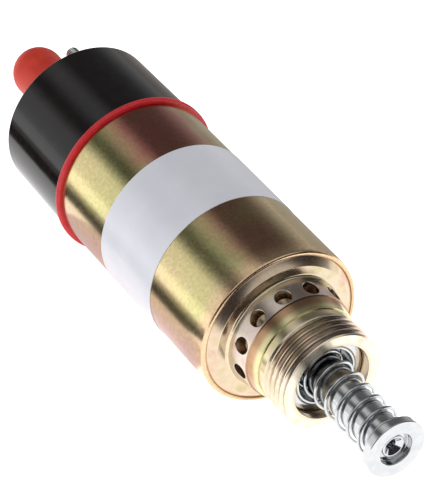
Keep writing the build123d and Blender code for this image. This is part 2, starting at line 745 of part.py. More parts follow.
def all_nodes():
    """Every sub-part by the name of its node."""
    nodes = {
        "mounting_nose": mounting_nose(),
        "shaft_bush": shaft_bush(),
        "spring_seat_washer": spring_seat_washer(),
        "seat_retaining_ring": seat_retaining_ring(),
        "housing_tube": housing_tube(),
        "rating_label": rating_label(),
        "guide_tube": guide_tube(),
        "coil_cushion": coil_cushion(),
        "coil_bobbin": coil_bobbin(),
        "pull_winding": winding(BOBBIN_TUBE_R, PULL_R),
        "hold_winding": winding(PULL_R, HOLD_R),
        "coil_wrap": winding(HOLD_R, HOLD_R + WRAP_THICKNESS),
        "rear_pole_plate": rear_pole_plate(),
        "fixed_core": fixed_core(),
        "switch_base": switch_base(),
        "supply_contact": supply_contact(),
        "coil_contact": coil_contact(),
        "ground_strip": ground_strip(),
        "switch_bracket": switch_bracket(),
        "contact_bridge": contact_bridge(),
        "contact_push_rod": contact_push_rod(),
        "contact_spring": contact_spring(),
        "cap_seal": cap_seal(),
        "terminal_cap": terminal_cap(),
        "terminal_boot": at_terminal(terminal_boot(), 1),
        "plunger_core": plunger_core(),
        "plunger_shaft": plunger_shaft(),
        "plunger_button": plunger_button(),
        "return_spring": return_spring(),
    }
    for name, place in LEAD_PLACES.items():
        nodes[name] = coil_lead(place)
    for name, side in (("positive", 1), ("negative", -1)):
        nodes[f"{name}_stud"] = at_terminal(stud_body(), side)
        nodes[f"{name}_flat_washer"] = at_terminal(flat_washer(), side)
        nodes[f"{name}_lock_washer"] = at_terminal(lock_washer(), side)
        nodes[f"{name}_nut"] = at_terminal(terminal_nut(), side)
    return nodes


os.makedirs("parts", exist_ok=True)
for node, shape in all_nodes().items():
    export_step(shape, f"parts/{node}.step")
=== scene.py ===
"""Visual model of a fuel shutoff solenoid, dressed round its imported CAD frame.

Lengths in the classes are millimetres and are turned to metres when a mesh is made. The axis of
the solenoid is X: the plunger points to +X and the terminals to -X. Angles round the axis are
measured from +Y toward +Z, in degrees where they are fields and in radians where they are passed.
"""

import json
import logging
import math
from collections.abc import Callable, Sequence
from dataclasses import dataclass, field
from enum import Enum

import bmesh
import bpy
from mathutils import Matrix, Vector

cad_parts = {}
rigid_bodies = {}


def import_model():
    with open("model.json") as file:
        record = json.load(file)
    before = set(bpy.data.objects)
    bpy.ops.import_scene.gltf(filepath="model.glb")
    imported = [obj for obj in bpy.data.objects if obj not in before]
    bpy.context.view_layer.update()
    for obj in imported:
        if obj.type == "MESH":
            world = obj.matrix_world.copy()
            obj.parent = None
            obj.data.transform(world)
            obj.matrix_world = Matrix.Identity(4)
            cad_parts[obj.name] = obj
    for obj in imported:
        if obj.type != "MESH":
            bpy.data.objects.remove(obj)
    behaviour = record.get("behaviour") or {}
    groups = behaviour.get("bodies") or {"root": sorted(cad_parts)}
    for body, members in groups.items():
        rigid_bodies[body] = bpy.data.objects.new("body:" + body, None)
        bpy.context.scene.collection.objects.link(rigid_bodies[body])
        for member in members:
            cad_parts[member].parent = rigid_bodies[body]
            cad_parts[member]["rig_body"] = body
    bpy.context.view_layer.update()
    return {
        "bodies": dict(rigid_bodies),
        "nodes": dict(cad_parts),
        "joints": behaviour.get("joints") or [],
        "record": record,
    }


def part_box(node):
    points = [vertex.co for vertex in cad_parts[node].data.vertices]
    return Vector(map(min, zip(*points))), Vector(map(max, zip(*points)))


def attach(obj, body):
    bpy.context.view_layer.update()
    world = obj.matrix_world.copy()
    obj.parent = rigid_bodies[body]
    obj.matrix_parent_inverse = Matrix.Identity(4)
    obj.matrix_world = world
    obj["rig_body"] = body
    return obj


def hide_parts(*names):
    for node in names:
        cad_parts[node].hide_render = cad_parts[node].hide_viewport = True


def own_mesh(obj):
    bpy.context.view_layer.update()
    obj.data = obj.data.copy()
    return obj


log = logging.getLogger("solenoid")

MM = 0.001
FULL_TURN = 360.0
SMOOTH_BELOW = math.radians(32)
SUPPORT = 0.15  # how far past an arc its supporting point stands, as a share of the rounding
CLOUD_SPAN = (0.3, 0.7)  # the values that most of a cloudy pattern lies between
DOUBLES_MM = 0.002
SEAM_MM = 0.005
JOINT_MM = 0.01

MATH = "ShaderNodeMath"
MIX = "ShaderNodeMix"
RANGE = "ShaderNodeMapRange"
RAMP = "ShaderNodeValToRGB"
BUMP = "ShaderNodeBump"

Pair = tuple[float, float]
Point = tuple[float, float, float]
Outline = Sequence[tuple[float, ...]]
Stops = Sequence[tuple[float, str | float]]
Given = bpy.types.Node | bpy.types.NodeSocket | float | tuple | str


class Slot(Enum):
    """The record's material slots."""

    NOSE = "yellow_zinc_nose"
    CAN = "yellow_zinc_can"
    BRIGHT = "bright_zinc"
    STEEL = "bare_steel"
    MOULDING = "black_moulding"
    NYLON = "bobbin_moulding"
    SEAL = "seal_rubber"
    BOOT = "boot_rubber"
    LABEL = "label_film"
    COPPER = "copper_wire"
    BRASS = "brass_tube"
    TAPE = "coil_tape"
    FIBRE = "fibre"


class Side(Enum):
    """The two terminals, by the word that their nodes' names start with."""

    POSITIVE = "positive"
    NEGATIVE = "negative"


# Shapes


def polar(x: float, radius: float, angle: float) -> Point:
    """A point at a station, a radius and an angle round the axis."""
    return x, radius * math.cos(angle), radius * math.sin(angle)


def around(count: int, start: float = 0.0, arc: float = FULL_TURN) -> list[float]:
    """Angles in radians, evenly round the axis, or over an arc with both its ends."""
    steps = count if arc == FULL_TURN else count - 1
    return [math.radians(start + arc * i / steps) for i in range(count)]


def softened(outline: Outline, steps: int = 4) -> list[Pair]:
    """Round the corners of an outline that ask for it.

    A point is added just beyond each end of an arc, so that smooth shading stops there and the
    flat faces beside the arc look flat.

    Args:
        outline: Points of (x, radius) or (x, radius, rounding), in order. Where the outline is
            open, its two end points ask for no rounding.
        steps: How many spans each rounding gets.

    Returns:
        The outline's points with an arc at each rounded corner.
    """
    points = []
    for index, corner in enumerate(outline):
        here = Vector(corner[:2])
        if len(corner) < 3:
            points.append(tuple(here))
            continue
        back = (Vector(outline[index - 1][:2]) - here).normalized()
        ahead = (Vector(outline[(index + 1) % len(outline)][:2]) - here).normalized()
        half = back.angle(ahead) / 2
        centre = here + (back + ahead).normalized() * corner[2] / math.sin(half)
        reach = corner[2] / math.tan(half)
        start = (here + back * reach - centre).normalized()
        end = (here + ahead * reach - centre).normalized()
        points.append(tuple(here + back * (reach + corner[2] * SUPPORT)))
        for step in range(steps + 1):
            points.append(tuple(centre + start.slerp(end, step / steps) * corner[2]))
        points.append(tuple(here + ahead * (reach + corner[2] * SUPPORT)))
    return points


def weld(mesh: bpy.types.Mesh, gap_mm: float, *others: bpy.types.Mesh) -> bpy.types.Mesh:
    """Close a mesh into one shell with its faces outward.

    Args:
        mesh: The mesh, which takes the result.
        gap_mm: How far apart two points may lie and still become one.
        *others: Meshes that are joined to it.

    Returns:
        The same mesh.
    """
    shell = bmesh.new()
    for part in (mesh, *others):
        shell.from_mesh(part)
    bmesh.ops.remove_doubles(shell, verts=shell.verts, dist=gap_mm * MM)
    bmesh.ops.dissolve_degenerate(shell, edges=shell.edges, dist=DOUBLES_MM / 2 * MM)
    bmesh.ops.recalc_face_normals(shell, faces=shell.faces)
    shell.to_mesh(mesh)
    shell.free()
    return mesh


@dataclass
class Surface:
    """Points and faces gathered in millimetres before they become one mesh."""

    points: list[Point] = field(default_factory=list)
    faces: list[tuple[int, ...]] = field(default_factory=list)

    def row(self, points: Sequence[Point]) -> list[int]:
        """Add points and return their numbers."""
        self.points.extend(points)
        return list(range(len(self.points) - len(points), len(self.points)))

    def ring(self, x: float, radius: float, angles: Sequence[float]) -> list[int]:
        """Add a ring of points round the axis, or one point where the radius is nothing."""
        return self.row([polar(x, radius, a) for a in (angles if radius > 0 else (0.0,))])

    def bridge(self, low: Sequence[int], high: Sequence[int], closed: bool = True) -> None:
        """Join two rows of points with faces.

        Args:
            low: The numbers of one row's points. Either row may be a single point.
            high: The numbers of the other row's points.
            closed: Whether the rows go all the way round.
        """
        count = max(len(low), len(high))
        for i in range(count if closed else count - 1):
            j = (i + 1) % count
            if len(low) == 1:
                self.faces.append((low[0], high[j], high[i]))
            elif len(high) == 1:
                self.faces.append((low[i], low[j], high[0]))
            else:
                self.faces.append((low[i], low[j], high[j], high[i]))

    def turn(self, outline: Outline, angles: Sequence[float], loop: bool = True) -> "Surface":
        """Revolve an outline about X.

        Args:
            outline: Points of (x, radius). One that starts on the axis isn't closed on itself.
            angles: The angles of the rings' points, all the way round.
            loop: Whether the outline closes on itself.

        Returns:
            The same surface.
        """
        rings = [self.ring(x, radius, angles) for x, radius in outline]
        for low, high in zip(rings, rings[1:]):
            self.bridge(low, high)
        if loop and outline[0][1] > 0:
            self.bridge(rings[-1], rings[0])
        return self

    def bend(self, section: Outline, angles: Sequence[float]) -> "Surface":
        """Revolve a closed section through part of a turn and close both ends.

        Args:
            section: Points of (x, radius).
            angles: The angles of the sections, from one end to the other.

        Returns:
            The same surface.
        """
        rows = [self.row([polar(x, radius, a) for x, radius in section]) for a in angles]
        for low, high in zip(rows, rows[1:]):
            self.bridge(low, high)
        self.faces += [tuple(rows[0]), tuple(reversed(rows[-1]))]
        return self

    def thread(
        self,
        ends: Pair,
        pitch: float,
        angles: Sequence[float],
        radius: Callable[[float, float], float],
        rows_per_pitch: int = 12,
    ) -> None:
        """Add a turned surface whose rows climb with a thread, cut off square at both ends.

        Args:
            ends: The lowest and the highest station along X.
            pitch: How far the rows climb in a turn.
            angles: The angles round the axis, once round.
            radius: Gives the radius at a station and an angle.
            rows_per_pitch: How many rows there are along one pitch.
        """
        low, high = ends
        columns = [*angles, angles[0] + 2 * math.pi]
        first = (angles[0] / (2 * math.pi) + 1) * pitch
        rings = []
        for row in range(math.ceil((high - low) / pitch + 2) * rows_per_pitch + 1):
            ring = []
            for a in columns:
                climb = a / (2 * math.pi) * pitch - first
                x = min(max(low + row * pitch / rows_per_pitch + climb, low), high)
                ring.append(polar(x, radius(x, a), a))
            rings.append(self.row(ring))
        for under, over in zip(rings, rings[1:]):
            self.bridge(under, over, closed=False)

    def mesh(self, name: str) -> bpy.types.Mesh:
        """Make a mesh in metres with its doubles merged and its faces outward.

        Args:
            name: The mesh's name.

        Returns:
            The mesh.
        """
        data = bpy.data.meshes.new(name)
        data.from_pydata([tuple(c * MM for c in p) for p in self.points], [], self.faces)
        return weld(data, DOUBLES_MM)


@dataclass(frozen=True)
class ScrewThread:
    """A 60 degree thread on a round bar along X."""

    major_r: float
    pitch: float
    crest_share: float = 0.24
    root_share: float = 0.22

    def cut(self, x: float, angle: float) -> float:
        """How deep the thread is cut below its crest.

        Args:
            x: The station along the bar.
            angle: The angle round it.

        Returns:
            The depth, which is nothing on the crest.
        """
        phase = (x / self.pitch - angle / (2 * math.pi)) % 1.0
        away = abs(phase - 0.5) * 2
        flank = 1 - self.crest_share - self.root_share
        share = min(max((1 - away - self.root_share) / flank, 0.0), 1.0)
        return (1 - share) * flank / 2 * self.pitch * math.tan(math.radians(60))


# Node trees


def linear(hex_colour: str) -> tuple[float, float, float, float]:
    """Turn an sRGB colour into the linear one that a shader takes.

    Args:
        hex_colour: The colour, such as #E1D49F.

    Returns:
        Its red, green, blue and alpha.
    """
    channels = [int(hex_colour[i : i + 2], 16) / 255 for i in (1, 3, 5)]
    values = [c / 12.92 if c <= 0.04045 else ((c + 0.055) / 1.055) ** 2.4 for c in channels]
    return (*values, 1.0)


@dataclass
class Nodes:
    """A node tree, and the one way in which it gets a node."""

    tree: bpy.types.NodeTree

    def feed(self, node: bpy.types.Node, *values: Given, **named: Given) -> None:
        """Set or link the inputs that a node has in use.

        Args:
            node: The node.
            *values: What its first inputs get: a value, a socket, or a node for its first output.
            **named: The same for other inputs, by name with underscores for spaces.
        """
        used = [socket for socket in node.inputs if socket.enabled]
        by_name = {socket.name: socket for socket in used}
        sockets = used[: len(values)] + [by_name[name.replace("_", " ")] for name in named]
        for socket, value in zip(sockets, [*values, *named.values()]):
            if isinstance(value, bpy.types.Node):
                value = next(output for output in value.outputs if output.enabled)
            if isinstance(value, bpy.types.NodeSocket):
                self.tree.links.new(value, socket)
            else:
                socket.default_value = value

    def add(self, kind: str, *values: Given, stops: Stops = (), **named: Given) -> bpy.types.Node:
        """Add a node with its settings, values and links.

        Args:
            kind: The node's type name.
            *values: What its first inputs get, as in feed.
            stops: A colour ramp's positions, each with a hex colour or a grey level.
            **named: Its other inputs, which start with a capital letter, and its own settings.

        Returns:
            The new node.
        """
        node = self.tree.nodes.new(kind)
        for name, value in named.items():
            if name[0].islower():
                setattr(node, name, value)
        self.feed(node, *values, **{name: named[name] for name in named if name[0].isupper()})
        for index, (position, tone) in enumerate(stops):
            elements = node.color_ramp.elements
            element = elements[index] if index < len(elements) else elements.new(1.0)
            element.position = position
            element.color = linear(tone) if isinstance(tone, str) else (tone, tone, tone, 1.0)
        return node


class Shader(Nodes):
    """A material under construction, with its surface shader and its object coordinates."""

    def __init__(self, name: str, **constants: Given) -> None:
        """Start a material.

        Args:
            name: The material's name.
            **constants: Fixed values on its surface shader, by input name.
        """
        self.material = bpy.data.materials.new(name)
        self.material.use_nodes = True
        super().__init__(self.material.node_tree)
        self.tree.nodes.clear()
        self.surface = self.add("ShaderNodeBsdfPrincipled", **constants)
        self.add("ShaderNodeOutputMaterial", self.surface)
        self.place = self.add("ShaderNodeTexCoord").outputs["Object"]

    def cloud(self, size_mm: float, detail: float = 3.0, stretch: Point = (1, 1, 1)) -> bpy.types.Node:
        """Lay a cloudy pattern in patches about size_mm wide, divided along each axis by stretch."""
        place = self.add("ShaderNodeMapping", self.place, Scale=stretch)
        return self.add("ShaderNodeTexNoise", place, Scale=1 / (size_mm * MM), Detail=detail)

    def dressed(self, **patterns: bpy.types.Node) -> bpy.types.Material:
        """Link patterns to the surface shader's inputs, by name, and give the material."""
        self.feed(self.surface, **patterns)
        return self.material


class GeometryTree(Nodes):
    """A geometry node group with named inputs, and how a mesh is made with it."""

    def __init__(self, name: str, **kinds: str) -> None:
        """Start a group.

        Args:
            name: The group's name.
            **kinds: The kind of each input, by name with underscores for spaces.
        """
        super().__init__(bpy.data.node_groups.new(name, "GeometryNodeTree"))
        sockets = self.tree.interface
        sockets.new_socket(name="Geometry", in_out="OUTPUT", socket_type="NodeSocketGeometry")
        self.identifiers: dict[str, str] = {}
        for key, kind in {"Geometry": "Geometry", **kinds, "Material": "Material"}.items():
            title = key.replace("_", " ")
            socket = sockets.new_socket(name=title, in_out="INPUT", socket_type=f"NodeSocket{kind}")
            self.identifiers[key] = socket.identifier
        self.given = self.add("NodeGroupInput").outputs

    def close(self, geometry: bpy.types.Node) -> "GeometryTree":
        """End the tree: make instances real, set the material and hand the result out.

        Args:
            geometry: The node whose geometry is the result.

        Returns:
            The same tree.
        """
        real = self.add("GeometryNodeRealizeInstances", geometry)
        dressed = self.add("GeometryNodeSetMaterial", real, Material=self.given["Material"])
        self.add("NodeGroupOutput", dressed)
        return self

    def run(self, seed: bpy.types.Mesh, **values: float | bpy.types.Material) -> bpy.types.Mesh:
        """Run the tree on a mesh.

        Args:
            seed: The mesh that the tree starts from.
            **values: A value for each input, by name with underscores for spaces.

        Returns:
            The plain result, with no modifier left.
        """
        holder = bpy.data.objects.new(self.tree.name, seed)
        bpy.context.scene.collection.objects.link(holder)
        modifier = holder.modifiers.new(self.tree.name, "NODES")
        modifier.node_group = self.tree
        for name, value in values.items():
            modifier[self.identifiers[name]] = value
        graph = bpy.context.evaluated_depsgraph_get()
        result = bpy.data.meshes.new_from_object(holder.evaluated_get(graph))
        holder.modifiers.remove(modifier)
        bpy.data.objects.remove(holder)
        return result


def ring_array_tree() -> GeometryTree:
    """Build the tree that repeats a sector round X and welds the copies into one band.

    Returns:
        The tree, with inputs for the number of copies and the first one's angle.
    """
    array = GeometryTree("ring_array", Count="Int", First_Angle="Float")
    count = array.given["Count"]
    step = array.add(MATH, 2 * math.pi, count, operation="DIVIDE")
    index = array.add("GeometryNodeInputIndex")
    angle = array.add(MATH, index, step, array.given["First Angle"], operation="MULTIPLY_ADD")
    rotation = array.add("FunctionNodeEulerToRotation", array.add("ShaderNodeCombineXYZ", angle))
    copies = array.add(
        "GeometryNodeInstanceOnPoints",
        array.add("GeometryNodeMeshLine", count, Offset=(0, 0, 0)),
        Instance=array.given["Geometry"],
        Rotation=rotation,
    )
    real = array.add("GeometryNodeRealizeInstances", copies)
    return array.close(array.add("GeometryNodeMergeByDistance", real, Distance=SEAM_MM * MM))


def spring_tree() -> GeometryTree:
    """Build the tree that winds a compression spring along X, its ends closed and ground flat.

    Returns:
        The tree. The wire's middle climbs from Foot by Closed Pitch in the first and last
        turns and by Open Pitch between them, and what stands past Start or End is ground off.
    """
    coil = GeometryTree(
        "coil_spring",
        Points="Int",
        Turn_Step="Float",
        Open_Turns="Float",
        Closed_Turns="Float",
        First_Angle="Float",
        Wire_Sides="Int",
        Start="Float",
        End="Float",
        Foot="Float",
        Mean_Radius="Float",
        Wire_Radius="Float",
        Open_Pitch="Float",
        Closed_Pitch="Float",
    )
    add, given = coil.add, coil.given
    turn = add(MATH, add("GeometryNodeInputIndex"), given["Turn Step"], operation="MULTIPLY")
    past = add(MATH, turn, given["Closed Turns"], operation="SUBTRACT")
    opened = add("ShaderNodeClamp", past, 0.0, given["Open Turns"])
    closed = add(MATH, turn, opened, operation="SUBTRACT")
    climb = add(MATH, closed, given["Closed Pitch"], given["Foot"], operation="MULTIPLY_ADD")
    rise = add(MATH, opened, given["Open Pitch"], climb, operation="MULTIPLY_ADD")
    angle = add(MATH, turn, 2 * math.pi, given["First Angle"], operation="MULTIPLY_ADD")
    across = [
        add(MATH, add(MATH, angle, operation=way), given["Mean Radius"], operation="MULTIPLY")
        for way in ("COSINE", "SINE")
    ]
    wound = add(
        "GeometryNodeSetPosition",
        add("GeometryNodeMeshLine", given["Points"]),
        Position=add("ShaderNodeCombineXYZ", rise, *across),
    )
    wire = add(
        "GeometryNodeCurveToMesh",
        add("GeometryNodeMeshToCurve", wound),
        add("GeometryNodeCurvePrimitiveCircle", given["Wire Sides"], given["Wire Radius"]),
        Fill_Caps=True,
    )
    x, y, z = add("ShaderNodeSeparateXYZ", add("GeometryNodeInputPosition")).outputs
    kept = add("ShaderNodeClamp", x, given["Start"], given["End"])
    flat = add("ShaderNodeCombineXYZ", kept, y, z)
    return coil.close(add("GeometryNodeSetPosition", wire, Position=flat))


# Finishes


@dataclass(frozen=True)
class ReflectionBand:
    """A band of painted reflection that runs along the can, by the angle of its middle.

    It begins where the cosine of the angle from its middle is edge, and is full where it is core.
    """

    stain: str
    middle: float
    edge: float
    core: float


@dataclass(frozen=True)
class YellowZincCan:
    """Deep drawn steel can, yellow chromate over zinc.

    The eye sees a satin straw gold whose film drifts to copper and to green in wide patches,
    with a fine cloudy grain and faint drawing lines along the can. Bands along the can at fixed
    angles round it are painted reflection: olive and copper-brown shade along the top, and a
    pinkish glow low on the -Y side.
    """

    slot: Slot = Slot.CAN
    tones: Stops = ((0.3, "#E2CEA4"), (0.45, "#E2D49C"), (0.58, "#D6D294"), (0.72, "#DCB49C"))
    # Painted reflection bands: olive and copper-brown shade along the top, a pinkish glow low on the -Y
    # side.
    reflection_bands: tuple[ReflectionBand, ...] = (
        ReflectionBand("#B4B47E", 97.0, 0.78, 0.92),
        ReflectionBand("#B07468", 88.0, 0.82, 1.02),
        ReflectionBand("#DEB9AA", 203.0, 0.75, 1.0),
    )
    wander: float = 0.5
    lip_stain: str = "#EACBA4"
    lip_mm: Pair = (-20.0, -13.5)
    tints: tuple[str, str] = ("#E6E2DE", "#FFFFFF")
    patch_mm: float = 30.0
    grain_mm: float = 0.9
    grain_depth_mm: float = 0.0015
    line_mm: float = 0.35
    line_depth_mm: float = 0.001
    line_stretch: Point = (0.05, 1, 1)
    roughness: Pair = (0.14, 0.24)

    def build(self) -> bpy.types.Material:
        """Make the material.

        Returns:
            The material.
        """
        shader = Shader(self.slot.value, Metallic=1.0, Coat_Weight=0.12, Coat_Roughness=0.18)
        add = shader.add
        x, y, z = add("ShaderNodeSeparateXYZ", shader.place).outputs
        patches = shader.cloud(self.patch_mm, detail=2.0)
        film = add(RAMP, patches, stops=self.tones)
        angle = add(MATH, z, y, operation="ARCTAN2")
        wander = add(MATH, patches, self.wander, -self.wander / 2, operation="MULTIPLY_ADD")
        # Painted reflection: bands of reflected shade and glow laid along the can at fixed angles round it.
        for reflection_band in self.reflection_bands:
            away = add(MATH, angle, math.radians(reflection_band.middle), operation="SUBTRACT")
            near = add(MATH, add(MATH, away, operation="COSINE"), wander, operation="ADD")
            share = add(RANGE, near, reflection_band.edge, reflection_band.core)
            film = add(MIX, share, film, linear(reflection_band.stain), data_type="RGBA")
        low, high = self.lip_mm
        lip = add(RANGE, x, low * MM, high * MM, interpolation_type="SMOOTHSTEP")
        film = add(MIX, lip, film, linear(self.lip_stain), data_type="RGBA")
        grain = shader.cloud(self.grain_mm, detail=6.0)
        tint = add(RAMP, grain, stops=[*zip(CLOUD_SPAN, self.tints)])
        lines = shader.cloud(self.line_mm, detail=2.0, stretch=self.line_stretch)
        drawn = add(BUMP, Height=lines, Distance=self.line_depth_mm * MM)
        return shader.dressed(
            Base_Color=add(MIX, 1.0, film, tint, data_type="RGBA", blend_type="MULTIPLY"),
            Roughness=add(RANGE, grain, 0.0, 1.0, *self.roughness),
            Normal=add(BUMP, Height=grain, Distance=self.grain_depth_mm * MM, Normal=drawn),
        )


@dataclass(frozen=True)
class YellowZincNose:
    """Lathe-turned steel, yellow chromate over zinc.

    The eye sees a paler, pinker gold than on the can, with the fine rings of the tool round it.
    The film changes with the cut: bronze on the flange, pink grey on the neck, copper on the
    collar, straw at the thread and cream on the end face. The spanner holes and the root of the
    thread are painted darker brown as painted shade, and the bore is painted pale cream as
    painted light.
    """

    slot: Slot = Slot.NOSE
    span_mm: Pair = (-18.0, 12.2)
    zones: Stops = (
        (-11.8, "#D2BEA6"),
        (-11.2, "#D6CBB0"),
        (-10.0, "#D0C4B8"),
        (-4.3, "#D9CBC2"),
        (-4.1, "#B08C6C"),
        (-2.2, "#BE9C7A"),
        (-0.9, "#DED8A8"),
        (2.5, "#DCCCB4"),
        (11.0, "#EADCCA"),
        (12.1, "#F1E6D4"),
    )
    drift: Stops = ((0.3, "#F4E2DC"), (0.5, "#FFFFFF"), (0.7, "#EDEBD6"))
    # Painted shade inside the spanner holes.
    painted_hole_shade: str = "#A8947C"
    hole_top_r: float = 15.9
    hole_mouth_x: float = -4.2
    # Painted shade in the root of the thread.
    painted_root_shade: str = "#5E4236"
    crest_to_root_r: Pair = (14.6, 13.9)
    run_in_x: Pair = (2.2, 3.4)
    thread_end_x: float = 11.4
    # Painted light: the bore and the end face inside it are made pale cream.
    painted_bore_light: str = "#E2D0B8"
    bore_top_r: float = 12.3
    patch_mm: float = 6.0
    grain_mm: float = 0.5
    grain_depth_mm: float = 0.0015
    ring_mm: float = 0.22
    ring_depth_mm: float = 0.004
    ring_stretch: Point = (1, 0.01, 0.01)
    roughness: Pair = (0.16, 0.28)

    def build(self) -> bpy.types.Material:
        """Make the material.

        Returns:
            The material.
        """
        shader = Shader(self.slot.value, Metallic=1.0)
        add = shader.add
        x, y, z = add("ShaderNodeSeparateXYZ", shader.place).outputs
        across = add("ShaderNodeCombineXYZ", 0.0, y, z)
        radius = add("ShaderNodeVectorMath", across, operation="LENGTH")
        low, high = self.span_mm
        stops = [((station - low) / (high - low), stain) for station, stain in self.zones]
        zones = add(RAMP, add(RANGE, x, low * MM, high * MM), stops=stops)
        drift = add(RAMP, shader.cloud(self.patch_mm), stops=self.drift)
        film = add(MIX, 1.0, zones, drift, data_type="RGBA", blend_type="MULTIPLY")

        sunk = add(MATH, radius, self.hole_top_r * MM, operation="LESS_THAN")
        behind = add(MATH, x, self.hole_mouth_x * MM, operation="LESS_THAN")
        in_hole = add(MATH, sunk, behind, operation="MULTIPLY")
        depth = add(RANGE, radius, *(r * MM for r in self.crest_to_root_r))
        run_in = add(RANGE, x, *(station * MM for station in self.run_in_x))
        before_end = add(MATH, x, self.thread_end_x * MM, operation="LESS_THAN")
        threaded = add(MATH, run_in, before_end, operation="MULTIPLY")
        in_root = add(MATH, depth, threaded, operation="MULTIPLY")
        in_bore = add(MATH, radius, self.bore_top_r * MM, operation="LESS_THAN")
        # Painted shade darkens the spanner holes and the thread's root, and painted light makes the bore
        # pale.
        tones = ((in_hole, self.painted_hole_shade), (in_root, self.painted_root_shade), (in_bore, self.painted_bore_light))
        for share, stain in tones:
            film = add(MIX, share, film, linear(stain), data_type="RGBA")

        grain = shader.cloud(self.grain_mm, detail=5.0)
        rings = shader.cloud(self.ring_mm, detail=2.0, stretch=self.ring_stretch)
        turned = add(BUMP, Height=rings, Distance=self.ring_depth_mm * MM)
        return shader.dressed(
            Base_Color=film,
            Roughness=add(RANGE, grain, 0.0, 1.0, *self.roughness),
            Normal=add(BUMP, Height=grain, Distance=self.grain_depth_mm * MM, Normal=turned),
        )


@dataclass(frozen=True)
class BrightZinc:
    """Steel with clear chromate over bright zinc.

    The eye sees a cool, slightly blue silver, glossy, with faint clouds and drawing marks over
    a soft swell that breaks up what it mirrors.
    """

    slot: Slot = Slot.BRIGHT
    shades: tuple[str, str] = ("#C0C3C7", "#CECFCE")
    cloud_mm: float = 2.4
    mark_mm: float = 0.4
    mark_depth_mm: float = 0.0015
    mark_stretch: Point = (0.12, 1, 1)
    swell_mm: float = 3.5
    swell_depth_mm: float = 0.06
    roughness: Pair = (0.1, 0.18)

    def build(self) -> bpy.types.Material:
        """Make the material.

        Returns:
            The material.
        """
        shader = Shader(self.slot.value, Metallic=1.0)
        add = shader.add
        clouds = shader.cloud(self.cloud_mm, detail=5.0)
        marks = shader.cloud(self.mark_mm, detail=3.0, stretch=self.mark_stretch)
        swell = add(BUMP, Height=shader.cloud(self.swell_mm, detail=1.0), Distance=self.swell_depth_mm * MM)
        return shader.dressed(
            Base_Color=add(RAMP, clouds, stops=[*zip(CLOUD_SPAN, self.shades)]),
            Roughness=add(RANGE, clouds, 0.0, 1.0, *self.roughness),
            Normal=add(BUMP, Height=marks, Distance=self.mark_depth_mm * MM, Normal=swell),
        )


@dataclass(frozen=True)
class WorkedMetal:
    """A bare metal with a light tarnish and the fine marks of how it was worked."""

    slot: Slot
    shades: tuple[str, str]
    roughness: Pair
    tarnish_mm: float
    mark_depth_mm: float
    mark_stretch: Point
    mark_mm: float = 0.3

    def build(self) -> bpy.types.Material:
        """Make the material.

        Returns:
            The material.
        """
        shader = Shader(self.slot.value, Metallic=1.0)
        marks = shader.cloud(self.mark_mm, detail=2.0, stretch=self.mark_stretch)
        tarnish = shader.cloud(self.tarnish_mm)
        return shader.dressed(
            Base_Color=shader.add(RAMP, tarnish, stops=[*zip(CLOUD_SPAN, self.shades)]),
            Roughness=shader.add(RANGE, marks, 0.0, 1.0, *self.roughness),
            Normal=shader.add(BUMP, Height=marks, Distance=self.mark_depth_mm * MM),
        )


@dataclass(frozen=True)
class WoundCopper:
    """Enamelled copper wire, wound in close turns.

    The eye sees reddish lacquered metal in fine ridges, one to each turn of wire.
    """

    slot: Slot = Slot.COPPER
    shades: tuple[str, str] = ("#9A4F2E", "#B8683C")
    cloud_mm: float = 4.0
    wire_mm: float = 0.6
    ridge_mm: float = 0.1

    def build(self) -> bpy.types.Material:
        """Make the material.

        Returns:
            The material.
        """
        shader = Shader(
            self.slot.value, Metallic=1.0, Roughness=0.3, Coat_Weight=0.6, Coat_Roughness=0.15
        )
        add = shader.add
        x = add("ShaderNodeSeparateXYZ", shader.place)
        half_turns = add(MATH, x, math.pi / (self.wire_mm * MM), operation="MULTIPLY")
        ridge = add(MATH, add(MATH, half_turns, operation="SINE"), operation="ABSOLUTE")
        clouds = shader.cloud(self.cloud_mm)
        return shader.dressed(
            Base_Color=add(RAMP, clouds, stops=[*zip(CLOUD_SPAN, self.shades)]),
            Normal=add(BUMP, Height=ridge, Distance=self.ridge_mm * MM),
        )


@dataclass(frozen=True)
class Moulding:
    """A plastic, a rubber, a film or a board: a soft mottle under a skin of (width, depth)."""

    slot: Slot
    shades: tuple[str, str]
    roughness: Pair
    mottle_mm: float
    skin: Pair
    ior: float = 1.5
    coat: float = 0.0
    coat_roughness: float = 0.1

    def build(self) -> bpy.types.Material:
        """Make the material.

        Returns:
            The material.
        """
        shader = Shader(
            self.slot.value, IOR=self.ior, Coat_Weight=self.coat, Coat_Roughness=self.coat_roughness
        )
        mottle = shader.cloud(self.mottle_mm, detail=4.0)
        skin_mm, depth_mm = self.skin
        skin = shader.cloud(skin_mm, detail=4.0)
        return shader.dressed(
            Base_Color=shader.add(RAMP, mottle, stops=[*zip(CLOUD_SPAN, self.shades)]),
            Roughness=shader.add(RANGE, mottle, 0.0, 1.0, *self.roughness),
            Normal=shader.add(BUMP, Height=skin, Distance=depth_mm * MM),
        )


